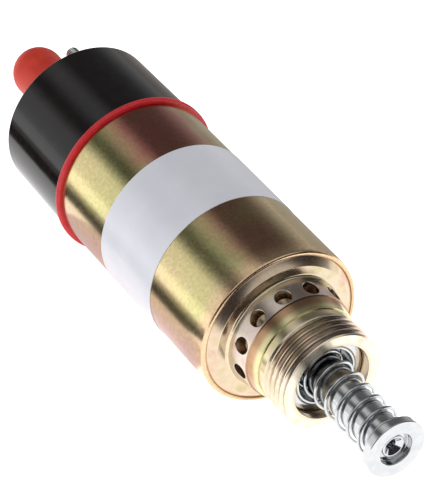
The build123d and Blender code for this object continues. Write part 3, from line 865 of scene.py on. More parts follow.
FINISHES = (
    YellowZincCan(),
    YellowZincNose(),
    BrightZinc(),
    WoundCopper(),
    # Machined low-carbon steel, oiled: a neutral dark grey, with fine rings round the axis.
    WorkedMetal(
        Slot.STEEL,
        ("#7E7D7B", "#95938F"),
        roughness=(0.28, 0.42),
        tarnish_mm=3.0,
        mark_depth_mm=0.004,
        mark_stretch=(1, 0.02, 0.02),
    ),
    # Drawn brass tube: a soft yellow, with fine lines along it.
    WorkedMetal(
        Slot.BRASS,
        ("#A98545", "#C8A560"),
        roughness=(0.22, 0.36),
        tarnish_mm=5.0,
        mark_depth_mm=0.003,
        mark_stretch=(0.05, 1, 1),
    ),
    # Phenolic: near black and glossy, with the faint flow clouds of a compression moulding.
    Moulding(Slot.MOULDING, ("#120E0E", "#1B1515"), (0.1, 0.16), mottle_mm=3.0, skin=(0.6, 0.002), ior=1.4),
    # Unfilled nylon: warm off-white, waxy and slightly uneven.
    Moulding(Slot.NYLON, ("#D8D2C0", "#E6E1D2"), (0.35, 0.5), mottle_mm=5.0, skin=(0.6, 0.004), ior=1.53),
    # Silicone rubber ring: saturated crimson with a satin skin.
    Moulding(
        Slot.SEAL,
        ("#C81C28", "#DA2A30"),
        roughness=(0.3, 0.45),
        mottle_mm=2.5,
        skin=(0.4, 0.006),
        ior=1.45,
        coat=0.15,
        coat_roughness=0.2,
    ),
    # Dipped vinyl boot: opaque orange red, with a soft sheen and a slightly wavy skin.
    Moulding(Slot.BOOT, ("#D02A12", "#DE3A1C"), (0.4, 0.55), mottle_mm=3.5, skin=(1.6, 0.05), ior=1.42),
    # Polyester label film: cool white, smooth, with a faint waviness where it was rubbed down.
    Moulding(
        Slot.LABEL,
        ("#E2E4EE", "#EAEBF2"),
        roughness=(0.25, 0.35),
        mottle_mm=9.0,
        skin=(4.0, 0.02),
        coat=0.3,
        coat_roughness=0.12,
    ),
    # Coil tape: amber polyester over the winding.
    Moulding(Slot.TAPE, ("#A0712C", "#B98A3E"), (0.25, 0.4), mottle_mm=6.0, skin=(1.2, 0.01)),
    # Vulcanised fibre: dull brick red, with the grain of its pressed layers.
    Moulding(Slot.FIBRE, ("#7C3B2C", "#94503B"), (0.6, 0.75), mottle_mm=1.2, skin=(0.4, 0.01)),
)


# The bench: frame, finishes and handing over


@dataclass
class Bench:
    """The loaded frame and the finishes, and how a piece is handed over to them."""

    frame: dict
    finishes: dict[Slot, bpy.types.Material]
    dressed: set[str] = field(default_factory=set)
    boxes: dict[str, tuple[Vector, Vector]] = field(default_factory=dict)

    def box(self, node: str) -> tuple[Vector, Vector]:
        """The corners of a CAD node's box, in millimetres.

        Args:
            node: The node.

        Returns:
            Its lowest and its highest corner.
        """
        if node not in self.boxes:
            low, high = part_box(node)
            self.boxes[node] = (low / MM, high / MM)
        return self.boxes[node]

    def span(self, node: str) -> Pair:
        """The lowest and highest X of a CAD node, in millimetres."""
        low, high = self.box(node)
        return low.x, high.x

    def radius(self, node: str) -> float:
        """Half of a CAD node's width or height, which is its outer radius."""
        low, high = self.box(node)
        return max(high.y - low.y, high.z - low.z) / 2

    def bar(self, node: str) -> Point:
        """The lowest X, the highest X and the outer radius of a CAD node."""
        return *self.span(node), self.radius(node)

    def centre(self, node: str) -> Pair:
        """The Y and Z of the middle of a CAD node, in millimetres."""
        low, high = self.box(node)
        return (low.y + high.y) / 2, (low.z + high.z) / 2

    def slot_of(self, node: str) -> Slot:
        """The material slot that the record gives a node."""
        parts = self.frame["record"]["subparts"]
        return Slot(next(part["material_slot"] for part in parts if part["node"] == node))

    def hand_over(self, mesh: bpy.types.Mesh, node: str) -> bpy.types.Object:
        """Show a mesh in a CAD node's place, on its body and in its finish.

        Args:
            mesh: The finished mesh, in place.
            node: The CAD node that it stands for, which also names it.

        Returns:
            The new object.
        """
        mesh.polygons.foreach_set("use_smooth", [True] * len(mesh.polygons))
        mesh.set_sharp_from_angle(angle=SMOOTH_BELOW)
        slot = self.slot_of(node)
        piece = bpy.data.objects.new(f"{node}_shown", mesh)
        bpy.context.scene.collection.objects.link(piece)
        mesh.materials.clear()
        mesh.materials.append(self.finishes[slot])
        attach(piece, self.frame["nodes"][node]["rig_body"])
        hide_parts(node)
        self.dressed.add(node)
        log.info("%s: %d faces", piece.name, len(mesh.polygons))
        return piece

    def show(self, surface: Surface, node: str, middle: Pair = (0.0, 0.0)) -> None:
        """Hand over a surface that was made about the X axis.

        Args:
            surface: The finished surface.
            node: The CAD node that it stands for.
            middle: The Y and Z that its axis is moved to.
        """
        mesh = surface.mesh(node)
        mesh.transform(Matrix.Translation((0, middle[0] * MM, middle[1] * MM)))
        self.hand_over(mesh, node)

    def dress_the_rest(self) -> None:
        """Give every CAD node that is still shown its finish."""
        for node, shown in self.frame["nodes"].items():
            if node not in self.dressed:
                slot = self.slot_of(node)
                shown.data.materials.clear()
                shown.data.materials.append(self.finishes[slot])
                log.info("%s: CAD shape kept", node)


# Sub-assemblies


@dataclass
class MountingNose:
    """The turned nose: thread, relief, collar, spanner neck, flange and stepped bore."""

    bench: Bench
    thread: ScrewThread = ScrewThread(15.08, 25.4 / 12)
    thread_end_x: float = 2.2
    runout: float = 1.4
    relief_r: float = 14.8
    front_chamfer: float = 0.5
    collar_r: float = 16.0
    collar_x: float = -4.0
    collar_step: float = 0.32
    collar_face: float = 0.1
    collar_round: float = 0.2
    neck_end_r: float = 17.4
    neck_fillet: float = 0.8
    flange_face_x: float = -11.5
    flange_face_r: float = 20.5
    flange_round: float = 0.25
    lip_x: float = -13.2
    lip_bevel: Pair = (0.1, 0.15)
    lip_slope: float = 0.55
    cone_r: float = 22.25
    flange_r: float = 22.8
    bore_r: float = 11.4
    bore_edge: float = 0.3
    web_x: float = 2.0
    web_rear_x: float = -1.0
    bush_r: float = 7.6
    groove: Point = (3.25, 4.35, 12.2)
    mouth_groove: Point = (9.3, 10.2, 11.9)
    groove_round: float = 0.1
    armature_bore_r: float = 11.05
    tube_seat: Pair = (-15.0, 11.6)
    holes: int = 12
    first_hole: float = 11.5
    hole_x: float = -6.95
    hole_r: float = 2.28
    hole_chamfer: float = 0.12
    hole_floor_r: float = 13.7
    drill_tip_r: float = 12.26
    sides_per_hole: int = 24
    steps_along_neck: int = 12

    def surface_r(self, x: float, angle: float) -> float:
        """The radius of the threaded stretch, from its chamfered end to the relief.

        Args:
            x: The station.
            angle: The angle round the axis.

        Returns:
            The radius there.
        """
        front_x = self.bench.span("mounting_nose")[1]
        plain = min(self.thread.major_r, self.thread.major_r - self.front_chamfer + (front_x - x))
        start = min(max((x - self.thread_end_x) / self.runout, 0.0), 1.0)
        fade = start * start * (3 - 2 * start)
        threaded = self.thread.major_r - self.thread.cut(x, angle)
        return min(plain, self.relief_r + (threaded - self.relief_r) * fade)

    def neck_front(self) -> Pair:
        """Where the neck's cone starts, behind the collar's corner."""
        return self.collar_x - self.collar_step / 2, self.collar_r + self.collar_step

    def neck_r(self, x: float) -> float:
        """The radius of the neck's cone.

        Args:
            x: The station.

        Returns:
            The radius there.
        """
        front_x, front_r = self.neck_front()
        share = (x - front_x) / (self.flange_face_x - front_x)
        return front_r + (self.neck_end_r - front_r) * share

    def rear_outline(self) -> list[Pair]:
        """The outline from the neck's end, over the flange and back through the bore.

        Returns:
            The points of (x, radius).
        """
        rear_x, front_x = self.bench.span("mounting_nose")
        grooves = []
        for low, high, depth_r in (self.groove, self.mouth_groove):
            grooves += [(low, self.bore_r), (low, depth_r), (high, depth_r), (high, self.bore_r)]
        seat_x, seat_r = self.tube_seat
        return softened([
            self.neck_front(),
            (self.flange_face_x, self.neck_end_r, self.neck_fillet),
            (self.flange_face_x, self.flange_face_r, self.flange_round),
            (self.lip_x + self.lip_bevel[0], self.cone_r - self.lip_bevel[1]),
            (self.lip_x, self.cone_r),
            (self.lip_x - self.lip_slope, self.flange_r),
            (rear_x, self.flange_r),
            (rear_x, seat_r),
            (seat_x, seat_r),
            (seat_x, self.armature_bore_r),
            (self.web_rear_x, self.armature_bore_r),
            (self.web_rear_x, self.bush_r),
            (self.web_x, self.bush_r),
            (self.web_x, self.bore_r),
            *grooves[:-1],
            (*grooves[-1], self.groove_round),
            (front_x, self.bore_r, self.bore_edge),
            (front_x, self.thread.major_r - self.front_chamfer),
        ])[1:]

    def sector(self, rear_x: float) -> bpy.types.Mesh:
        """Make one sector of the neck with its chamfered, blind drilled hole.

        Args:
            rear_x: Where the neck ends and the fillet to the flange starts.

        Returns:
            The sector's mesh, with its hole on the +Y side.
        """
        front_x = self.neck_front()[0]
        half = math.radians(180 / self.holes)
        corners = [(front_x, -half), (front_x, half), (rear_x, half), (rear_x, -half)]
        counts = (self.sides_per_hole, self.steps_along_neck) * 2
        edge = [
            (x + (next_x - x) * i / count, angle + (next_angle - angle) * i / count)
            for (x, angle), (next_x, next_angle), count in zip(corners, corners[1:] + corners[:1], counts)
            for i in range(count)
        ]
        mouth_r = self.hole_r + self.hole_chamfer
        middle_r = self.neck_r(self.hole_x)
        directions = [math.atan2(middle_r * angle, x - self.hole_x) for x, angle in edge]

        def rim(radius: float, turn: float) -> Pair:
            """The station and the angle where a round cutter meets the neck."""
            x = self.hole_x + radius * math.cos(turn)
            return x, math.asin(radius * math.sin(turn) / self.neck_r(x))

        # Rows from the sector's edge in to the hole's mouth, closer together near the hole.
        surface = Surface()
        rows = []
        for share in (1.0, 0.76, 0.52, 0.3, 0.12, 0.0):
            row = []
            for (x, angle), turn in zip(edge, directions):
                rim_x, rim_angle = rim(mouth_r, turn)
                here_x = rim_x + (x - rim_x) * share
                row.append(polar(here_x, self.neck_r(here_x), rim_angle + (angle - rim_angle) * share))
            rows.append(surface.row(row))
        # Down the hole: how far in and how far down the chamfer, then the share of the wall.
        for turn_in, drop, share in ((0.5, 0.35, 0.0), (1.0, 1.0, 0.0), (1.0, 1.0, 0.5), (1.0, 1.0, 1.0)):
            radius = mouth_r - self.hole_chamfer * turn_in
            row = []
            for turn in directions:
                x, angle = rim(radius, turn)
                top = self.neck_r(x) * math.cos(angle) - self.hole_chamfer * drop
                height = top + (self.hole_floor_r - top) * share
                row.append((x, height, radius * math.sin(turn)))
            rows.append(surface.row(row))
        rows.append(surface.row([(self.hole_x, self.drill_tip_r, 0.0)]))
        for low, high in zip(rows, rows[1:]):
            surface.bridge(low, high)
        return surface.mesh("neck_sector")

    def build(self) -> None:
        """Build the nose as one closed mesh, whose rings meet the holes' sectors point to point."""
        front_x = self.bench.span("mounting_nose")[1]
        angles = around(self.holes * self.sides_per_hole, self.first_hole - 180 / self.holes)
        rear = self.rear_outline()
        collar = softened([
            (0.0, self.relief_r),
            (0.0, self.thread.major_r + self.collar_face, self.collar_round),
            (self.collar_x, self.collar_r),
            self.neck_front(),
        ])
        surface = Surface()
        surface.thread((0.0, front_x), self.thread.pitch, angles, self.surface_r)
        surface.turn(collar, angles, loop=False)
        surface.turn(rear, angles, loop=False)
        band = ring_array_tree().run(
            self.sector(rear[0][0]),
            Count=self.holes,
            First_Angle=math.radians(self.first_hole),
            Material=self.bench.finishes[Slot.NOSE],
        )
        self.bench.hand_over(weld(surface.mesh("mounting_nose"), JOINT_MM, band), "mounting_nose")


@dataclass
class NoseFittings:
    """The spring's cup, its foot under a snap ring and its collar near the mouth of the nose."""

    bench: Bench
    washer_bore_r: float = 5.9
    cup_r: float = 8.25
    cup_wall: float = 0.6
    collar_x: float = 8.95
    collar_thickness: float = 0.7
    collar_r: float = 11.2
    rim_height: float = 0.4
    edge: float = 0.15
    fold: float = 0.3
    rim_edge: float = 0.25
    ring_width: float = 1.6
    ring_edge: float = 0.1
    ring_arc: float = 320.0
    ring_start: float = 20.0
    sides: int = 160
    ring_sections: int = 140

    def build(self) -> None:
        """Build both pieces."""
        low, high, outer_r = self.bench.bar("spring_seat_washer")
        wall_r = self.cup_r + self.cup_wall
        under_x = self.collar_x - self.collar_thickness
        rim_x = self.collar_x + self.rim_height
        cup = softened([
            (low, self.washer_bore_r),
            (high, self.washer_bore_r, self.edge),
            (high, self.cup_r, self.fold),
            (rim_x, self.cup_r, self.rim_edge),
            (rim_x, wall_r, self.rim_edge),
            (self.collar_x, wall_r + self.rim_height, self.fold),
            (self.collar_x, self.collar_r, self.edge),
            (under_x, self.collar_r, self.edge),
            (under_x, wall_r, self.fold),
            (high, wall_r, self.fold),
            (high, outer_r, self.edge),
            (low, outer_r),
        ])
        self.bench.show(Surface().turn(cup, around(self.sides)), "spring_seat_washer")

        low, high, outer_r = self.bench.bar("seat_retaining_ring")
        section = softened([
            (low, outer_r - self.ring_width, self.ring_edge),
            (high, outer_r - self.ring_width, self.ring_edge),
            (high, outer_r, self.ring_edge),
            (low, outer_r, self.ring_edge),
        ], steps=2)
        angles = around(self.ring_sections, self.ring_start, self.ring_arc)
        self.bench.show(Surface().bend(section, angles), "seat_retaining_ring")


@dataclass
class Can:
    """The drawn can with its rolled lip, and the bare label round it."""

    bench: Bench
    wall: float = 1.2
    rear_edge: float = 0.25
    lip_round: float = 0.9
    lip_return: float = 0.55
    lip_inner_round: float = 0.3
    label_arc: float = 336.0
    label_gap_angle: float = 270.0
    label_thickness: float = 0.12
    label_edge: float = 0.05
    sides: int = 320

    def build(self) -> None:
        """Build the can and its label."""
        rear_x, lip_x, outer_r = self.bench.bar("housing_tube")
        bore_r = outer_r - self.wall
        outline = softened([
            (lip_x, bore_r - self.lip_return, self.lip_inner_round),
            (lip_x - self.lip_return, bore_r),
            (rear_x, bore_r),
            (rear_x, outer_r, self.rear_edge),
            (lip_x, outer_r, self.lip_round),
        ], steps=7)
        self.bench.show(Surface().turn(outline, around(self.sides)), "housing_tube")

        rear_x, front_x, outer_r = self.bench.bar("rating_label")
        inner_r = outer_r - self.label_thickness
        section = softened([
            (rear_x, inner_r),
            (rear_x, outer_r, self.label_edge),
            (front_x, outer_r, self.label_edge),
            (front_x, inner_r),
        ], steps=2)
        start = self.label_gap_angle + (FULL_TURN - self.label_arc) / 2
        angles = around(self.sides, start, self.label_arc)
        self.bench.show(Surface().bend(section, angles), "rating_label")


@dataclass
class CapAndSeal:
    """The moulded cap and the rubber ring that it presses on the can."""

    bench: Bench
    spigot_r: float = 22.65
    spigot_round: float = 0.3
    seal_round: float = 0.72
    front_r: float = 24.3
    front_round: float = 0.35
    rear_r: float = 23.9
    cap_face_x: float = -92.2
    inner_r: float = 20.25
    end_wall: float = 4.0
    edge_round: float = 0.6
    stud_hole_r: float = 2.15
    stud_hole_sides: int = 40
    sides: int = 288

    def build(self) -> None:
        """Build the seal, then the cap with its two stud holes."""
        low, high, outer_r = self.bench.bar("cap_seal")
        ring = softened([
            (low, self.spigot_r),
            (high, self.spigot_r),
            (high, outer_r, self.seal_round),
            (low, outer_r, self.seal_round),
        ], steps=8)
        self.bench.show(Surface().turn(ring, around(self.sides)), "cap_seal")

        rear_x, front_x = self.bench.span("terminal_cap")
        floor_x = rear_x + self.end_wall
        outline = softened([
            (floor_x, self.inner_r - 2 * self.edge_round),
            (floor_x, self.inner_r, self.edge_round),
            (front_x, self.inner_r),
            (front_x, self.spigot_r, self.spigot_round),
            (self.cap_face_x, self.spigot_r),
            (self.cap_face_x, self.front_r, self.front_round),
            (rear_x, self.rear_r, self.edge_round),
            (rear_x, self.rear_r - 2 * self.edge_round),
        ], steps=8)
        surface = Surface().turn(outline, around(self.sides), loop=False)
        self.close_end(surface, outline[-1], outline[0])
        self.bench.show(surface, "terminal_cap")

    def close_end(self, surface: Surface, outer: Pair, inner: Pair) -> None:
        """Close the cap's end with two flat faces that the stud holes pass through.

        Args:
            surface: The cap so far, open at its end.
            outer: The outline's last point, on the outside of the end.
            inner: The outline's first point, on the inside.
        """
        studs = [self.bench.centre(f"{side.value}_stud") for side in Side]
        walls = []
        for x, radius in (outer, inner):
            rim = surface.ring(x, radius, around(self.sides))
            holes = [
                surface.row([
                    (x, y + self.stud_hole_r * math.cos(a), z + self.stud_hole_r * math.sin(a))
                    for a in around(self.stud_hole_sides)
                ])
                for y, z in studs
            ]
            self.fill_between(surface, rim, holes)
            walls.append(holes)
        for low, high in zip(*walls):
            surface.bridge(low, high)

    def fill_between(self, surface: Surface, rim: list[int], holes: list[list[int]]) -> None:
        """Fill the flat face between a rim and the holes inside it.

        Args:
            surface: The cap so far.
            rim: The numbers of the rim's points, in order.
            holes: The numbers of each hole's points, in order.
        """
        flat = bmesh.new()
        edges = []
        numbers = {}
        for loop in (rim, *holes):
            corners = [flat.verts.new(surface.points[number]) for number in loop]
            numbers.update(zip(corners, loop))
            edges += [flat.edges.new(pair) for pair in zip(corners, corners[1:] + corners[:1])]
        made = bmesh.ops.triangle_fill(flat, edges=edges, use_beauty=True)
        for face in made["geom"]:
            if isinstance(face, bmesh.types.BMFace):
                surface.faces.append(tuple(numbers[corner] for corner in face.verts))
        flat.free()


@dataclass
class Terminal:
    """One stud with its washers and its nut."""

    bench: Bench
    side: Side
    thread: ScrewThread = ScrewThread(2.0, 0.7)
    collar_r: float = 4.0
    collar_length: float = 4.0
    collar_edge: float = 0.2
    core_r: float = 1.77
    threaded: float = 21.5
    rows_per_pitch: int = 8
    tip_chamfer: float = 0.5
    nut_flats: float = 7.0
    nut_face_share: float = 0.985
    nut_mouth: Pair = (0.35, 0.1)
    lock_r: float = 3.8
    lock_gap: float = 0.9
    lock_edge: float = 0.1
    hole_r: float = 2.15
    washer_edge: float = 0.08
    washer_rounds: Pair = (0.25, 0.2)
    stud_sides: int = 48
    washer_sides: int = 64
    nut_sides: int = 96

    def node(self, name: str) -> str:
        """The CAD node of one of this terminal's pieces."""
        return f"{self.side.value}_{name}"

    def show(self, surface: Surface, name: str) -> None:
        """Show one of the terminal's pieces, which was made about the stud's axis."""
        self.bench.show(surface, self.node(name), self.bench.centre(self.node("stud")))

    def build(self) -> None:
        """Build the terminal's four pieces."""
        for maker in (self.stud, self.flat_washer, self.lock_washer, self.nut):
            maker()

    def thread_r(self, x: float, angle: float) -> float:
        """The radius of the rolled thread, run in at its start and chamfered at its tip.

        Args:
            x: The station.
            angle: The angle round the stud.

        Returns:
            The radius there.
        """
        tip_x = self.bench.span(self.node("stud"))[0]
        end = self.thread.major_r - self.tip_chamfer + (x - tip_x)
        run_in = min(max((tip_x + self.threaded - x) / self.thread.pitch, 0.0), 1.0)
        rolled = self.thread.major_r - self.thread.cut(x, angle)
        return min(end, self.core_r + (rolled - self.core_r) * run_in)

    def stud(self) -> None:
        """Show a stud with its collar at the front and a rolled thread to its tip."""
        low, high = self.bench.span(self.node("stud"))
        thread_x = low + self.threaded
        angles = around(self.stud_sides)
        collar = softened([
            (high, 0.0),
            (high, self.collar_r, self.collar_edge),
            (high - self.collar_length, self.collar_r, self.collar_edge),
            (high - self.collar_length, self.core_r),
            (thread_x, self.core_r),
        ])
        surface = Surface().turn(collar, angles)
        surface.thread((low, thread_x), self.thread.pitch, angles, self.thread_r, self.rows_per_pitch)
        tip = surface.ring(low, self.thread_r(low, 0.0), angles)
        surface.bridge(tip, surface.ring(low, 0.0, angles))
        self.show(surface, "stud")

    def flat_washer(self) -> None:
        """Show a stamped washer whose rear edges are rounder than its front ones."""
        low, high, outer_r = self.bench.bar(self.node("flat_washer"))
        outer_round, inner_round = self.washer_rounds
        outline = softened([
            (high, self.hole_r, self.washer_edge),
            (high, outer_r, self.washer_edge),
            (low, outer_r, outer_round),
            (low, self.hole_r, inner_round),
        ])
        self.show(Surface().turn(outline, around(self.washer_sides)), "flat_washer")

    def lock_washer(self) -> None:
        """Show a split washer of square section, its ends a little apart."""
        low, high = self.bench.span(self.node("lock_washer"))
        section = softened([
            (low, self.hole_r, self.lock_edge),
            (high, self.hole_r, self.lock_edge),
            (high, self.lock_r, self.lock_edge),
            (low, self.lock_r, self.lock_edge),
        ], steps=2)
        gap = math.degrees(self.lock_gap / self.lock_r)
        angles = around(self.washer_sides, gap / 2, FULL_TURN - gap)
        self.show(Surface().bend(section, angles), "lock_washer")

    def nut(self) -> None:
        """Show a hexagon nut, chamfered on both faces."""
        low, high = self.bench.span(self.node("nut"))
        flat_r = self.nut_flats / 2
        face_r = flat_r * self.nut_face_share
        mouth_depth, mouth_wider = self.nut_mouth
        mouth_r = self.thread.major_r + mouth_wider
        angles = around(self.nut_sides)
        hexagon = [flat_r / math.cos(a % math.radians(60) - math.radians(30)) for a in angles]
        drops = [(r - face_r) * math.tan(math.radians(30)) for r in hexagon]
        surface = Surface()
        rings = [
            surface.ring(low, mouth_r, angles),
            surface.ring(low + mouth_depth, self.core_r, angles),
            surface.ring(high - mouth_depth, self.core_r, angles),
            surface.ring(high, mouth_r, angles),
            surface.ring(high, face_r, angles),
            surface.row([polar(high - drop, r, a) for drop, r, a in zip(drops, hexagon, angles)]),
            surface.row([polar(low + drop, r, a) for drop, r, a in zip(drops, hexagon, angles)]),
            surface.ring(low, face_r, angles),
        ]
        for first, second in zip(rings, rings[1:] + rings[:1]):
            surface.bridge(first, second)
        self.show(surface, "nut")


@dataclass
class TerminalBoot:
    """The domed boot pushed over the positive terminal."""

    bench: Bench
    skirt_r: float = 5.1
    skirt_fillet: float = 0.8
    neck_r: float = 2.25
    neck_fillet: float = 0.5
    skirt_depth: float = 6.75
    end_wall: float = 1.0
    lip_round: float = 0.5
    dome_steps: int = 24
    sides: int = 120

    def build(self) -> None:
        """Build the boot about its own axis and stand it over the stud."""
        low, high, radius = self.bench.bar("terminal_boot")
        inside_and_lip = softened([
            (low + self.end_wall, 0.0),
            (low + self.end_wall, self.neck_r, self.neck_fillet),
            (high - self.skirt_depth, self.neck_r, self.neck_fillet),
            (high - self.skirt_depth, self.skirt_r, self.skirt_fillet),
            (high, self.skirt_r, self.lip_round),
            (high, radius, self.lip_round),
        ], steps=5)
        dome = [
            (low + radius - radius * math.sin(a), radius * math.cos(a))
            for a in around(self.dome_steps + 1, arc=90.0)[:-1]
        ]
        outline = [*inside_and_lip, *dome, (low, 0.0)]
        surface = Surface().turn(outline, around(self.sides))
        self.bench.show(surface, "terminal_boot", self.bench.centre("terminal_boot"))


@dataclass
class Plunger:
    """The button and the shaft that carries it, in bright zinc."""

    bench: Bench
    shaft_r: float = 5.6
    shaft_end_r: float = 3.3
    recess_r: float = 4.8
    recess_depth: float = 1.9
    recess_fillet: float = 0.25
    edge: float = 0.3
    centre_hole_r: float = 1.3
    centre_hole_depth: float = 4.5
    drill_half_angle: float = 59.0
    countersink: Pair = (2.75, 1.1)
    sink_edge: float = 0.12
    hole_edge: float = 0.05
    end_below_face: float = 1.3
    button_sides: int = 192
    shaft_sides: int = 160

    def build(self) -> None:
        """Build both pieces."""
        low, high, radius = self.bench.bar("plunger_button")
        floor_x = high - self.recess_depth
        button = softened([
            (low, self.shaft_end_r),
            (low, radius, self.edge),
            (high, radius, self.edge),
            (high, self.recess_r, self.edge),
            (floor_x, self.recess_r, self.recess_fillet),
            (floor_x, self.shaft_end_r),
        ], steps=5)
        self.bench.show(Surface().turn(button, around(self.button_sides)), "plunger_button")

        rear_x = self.bench.span("plunger_shaft")[0]
        end_x = high - self.end_below_face
        hole_x = end_x - self.centre_hole_depth
        sink_r, sink_depth = self.countersink
        shaft = softened([
            (rear_x, 0.0),
            (rear_x, self.shaft_r),
            (low, self.shaft_r),
            (low, self.shaft_end_r),
            (end_x, self.shaft_end_r, self.edge),
            (end_x, sink_r, self.sink_edge),
            (end_x - sink_depth, self.centre_hole_r, self.hole_edge),
            (hole_x, self.centre_hole_r),
            (hole_x - self.centre_hole_r / math.tan(math.radians(self.drill_half_angle)), 0.0),
        ], steps=5)
        self.bench.show(Surface().turn(shaft, around(self.shaft_sides)), "plunger_shaft")


@dataclass
class CoilSpring:
    """A compression spring of bright wire between its CAD solid's two ends.
    """

    bench: Bench
    node: str
    joint: str
    outer_r: float
    wire_r: float
    open_turns: float
    closed_turns: float
    first_angle: float
    travel: float
    closed_pitch_wires: float = 1.02
    ground_share: float = 0.4
    points_per_turn: int = 48
    wire_sides: int = 20

    def build(self) -> None:
        """Wind the spring."""
        low, high = self.bench.span(self.node)
        turns = self.open_turns + 2 * self.closed_turns
        steps = math.ceil(turns * self.points_per_turn)
        inset = self.wire_r * self.ground_share
        closed_pitch = 2 * self.wire_r * self.closed_pitch_wires
        open_length = high - low - 2 * inset - 2 * closed_pitch * self.closed_turns
        mesh = spring_tree().run(
            bpy.data.meshes.new(self.node),
            Points=steps + 1,
            Turn_Step=turns / steps,
            Open_Turns=self.open_turns,
            Closed_Turns=self.closed_turns,
            First_Angle=math.radians(self.first_angle),
            Wire_Sides=self.wire_sides,
            Material=self.bench.finishes[self.bench.slot_of(self.node)],
            Start=low * MM,
            End=high * MM,
            Foot=(low + inset) * MM,
            Mean_Radius=(self.outer_r - self.wire_r) * MM,
            Wire_Radius=self.wire_r * MM,
            Open_Pitch=open_length / self.open_turns * MM,
            Closed_Pitch=closed_pitch * MM,
        )
        spring = self.bench.hand_over(mesh, self.node)
        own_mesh(spring)


# Studio


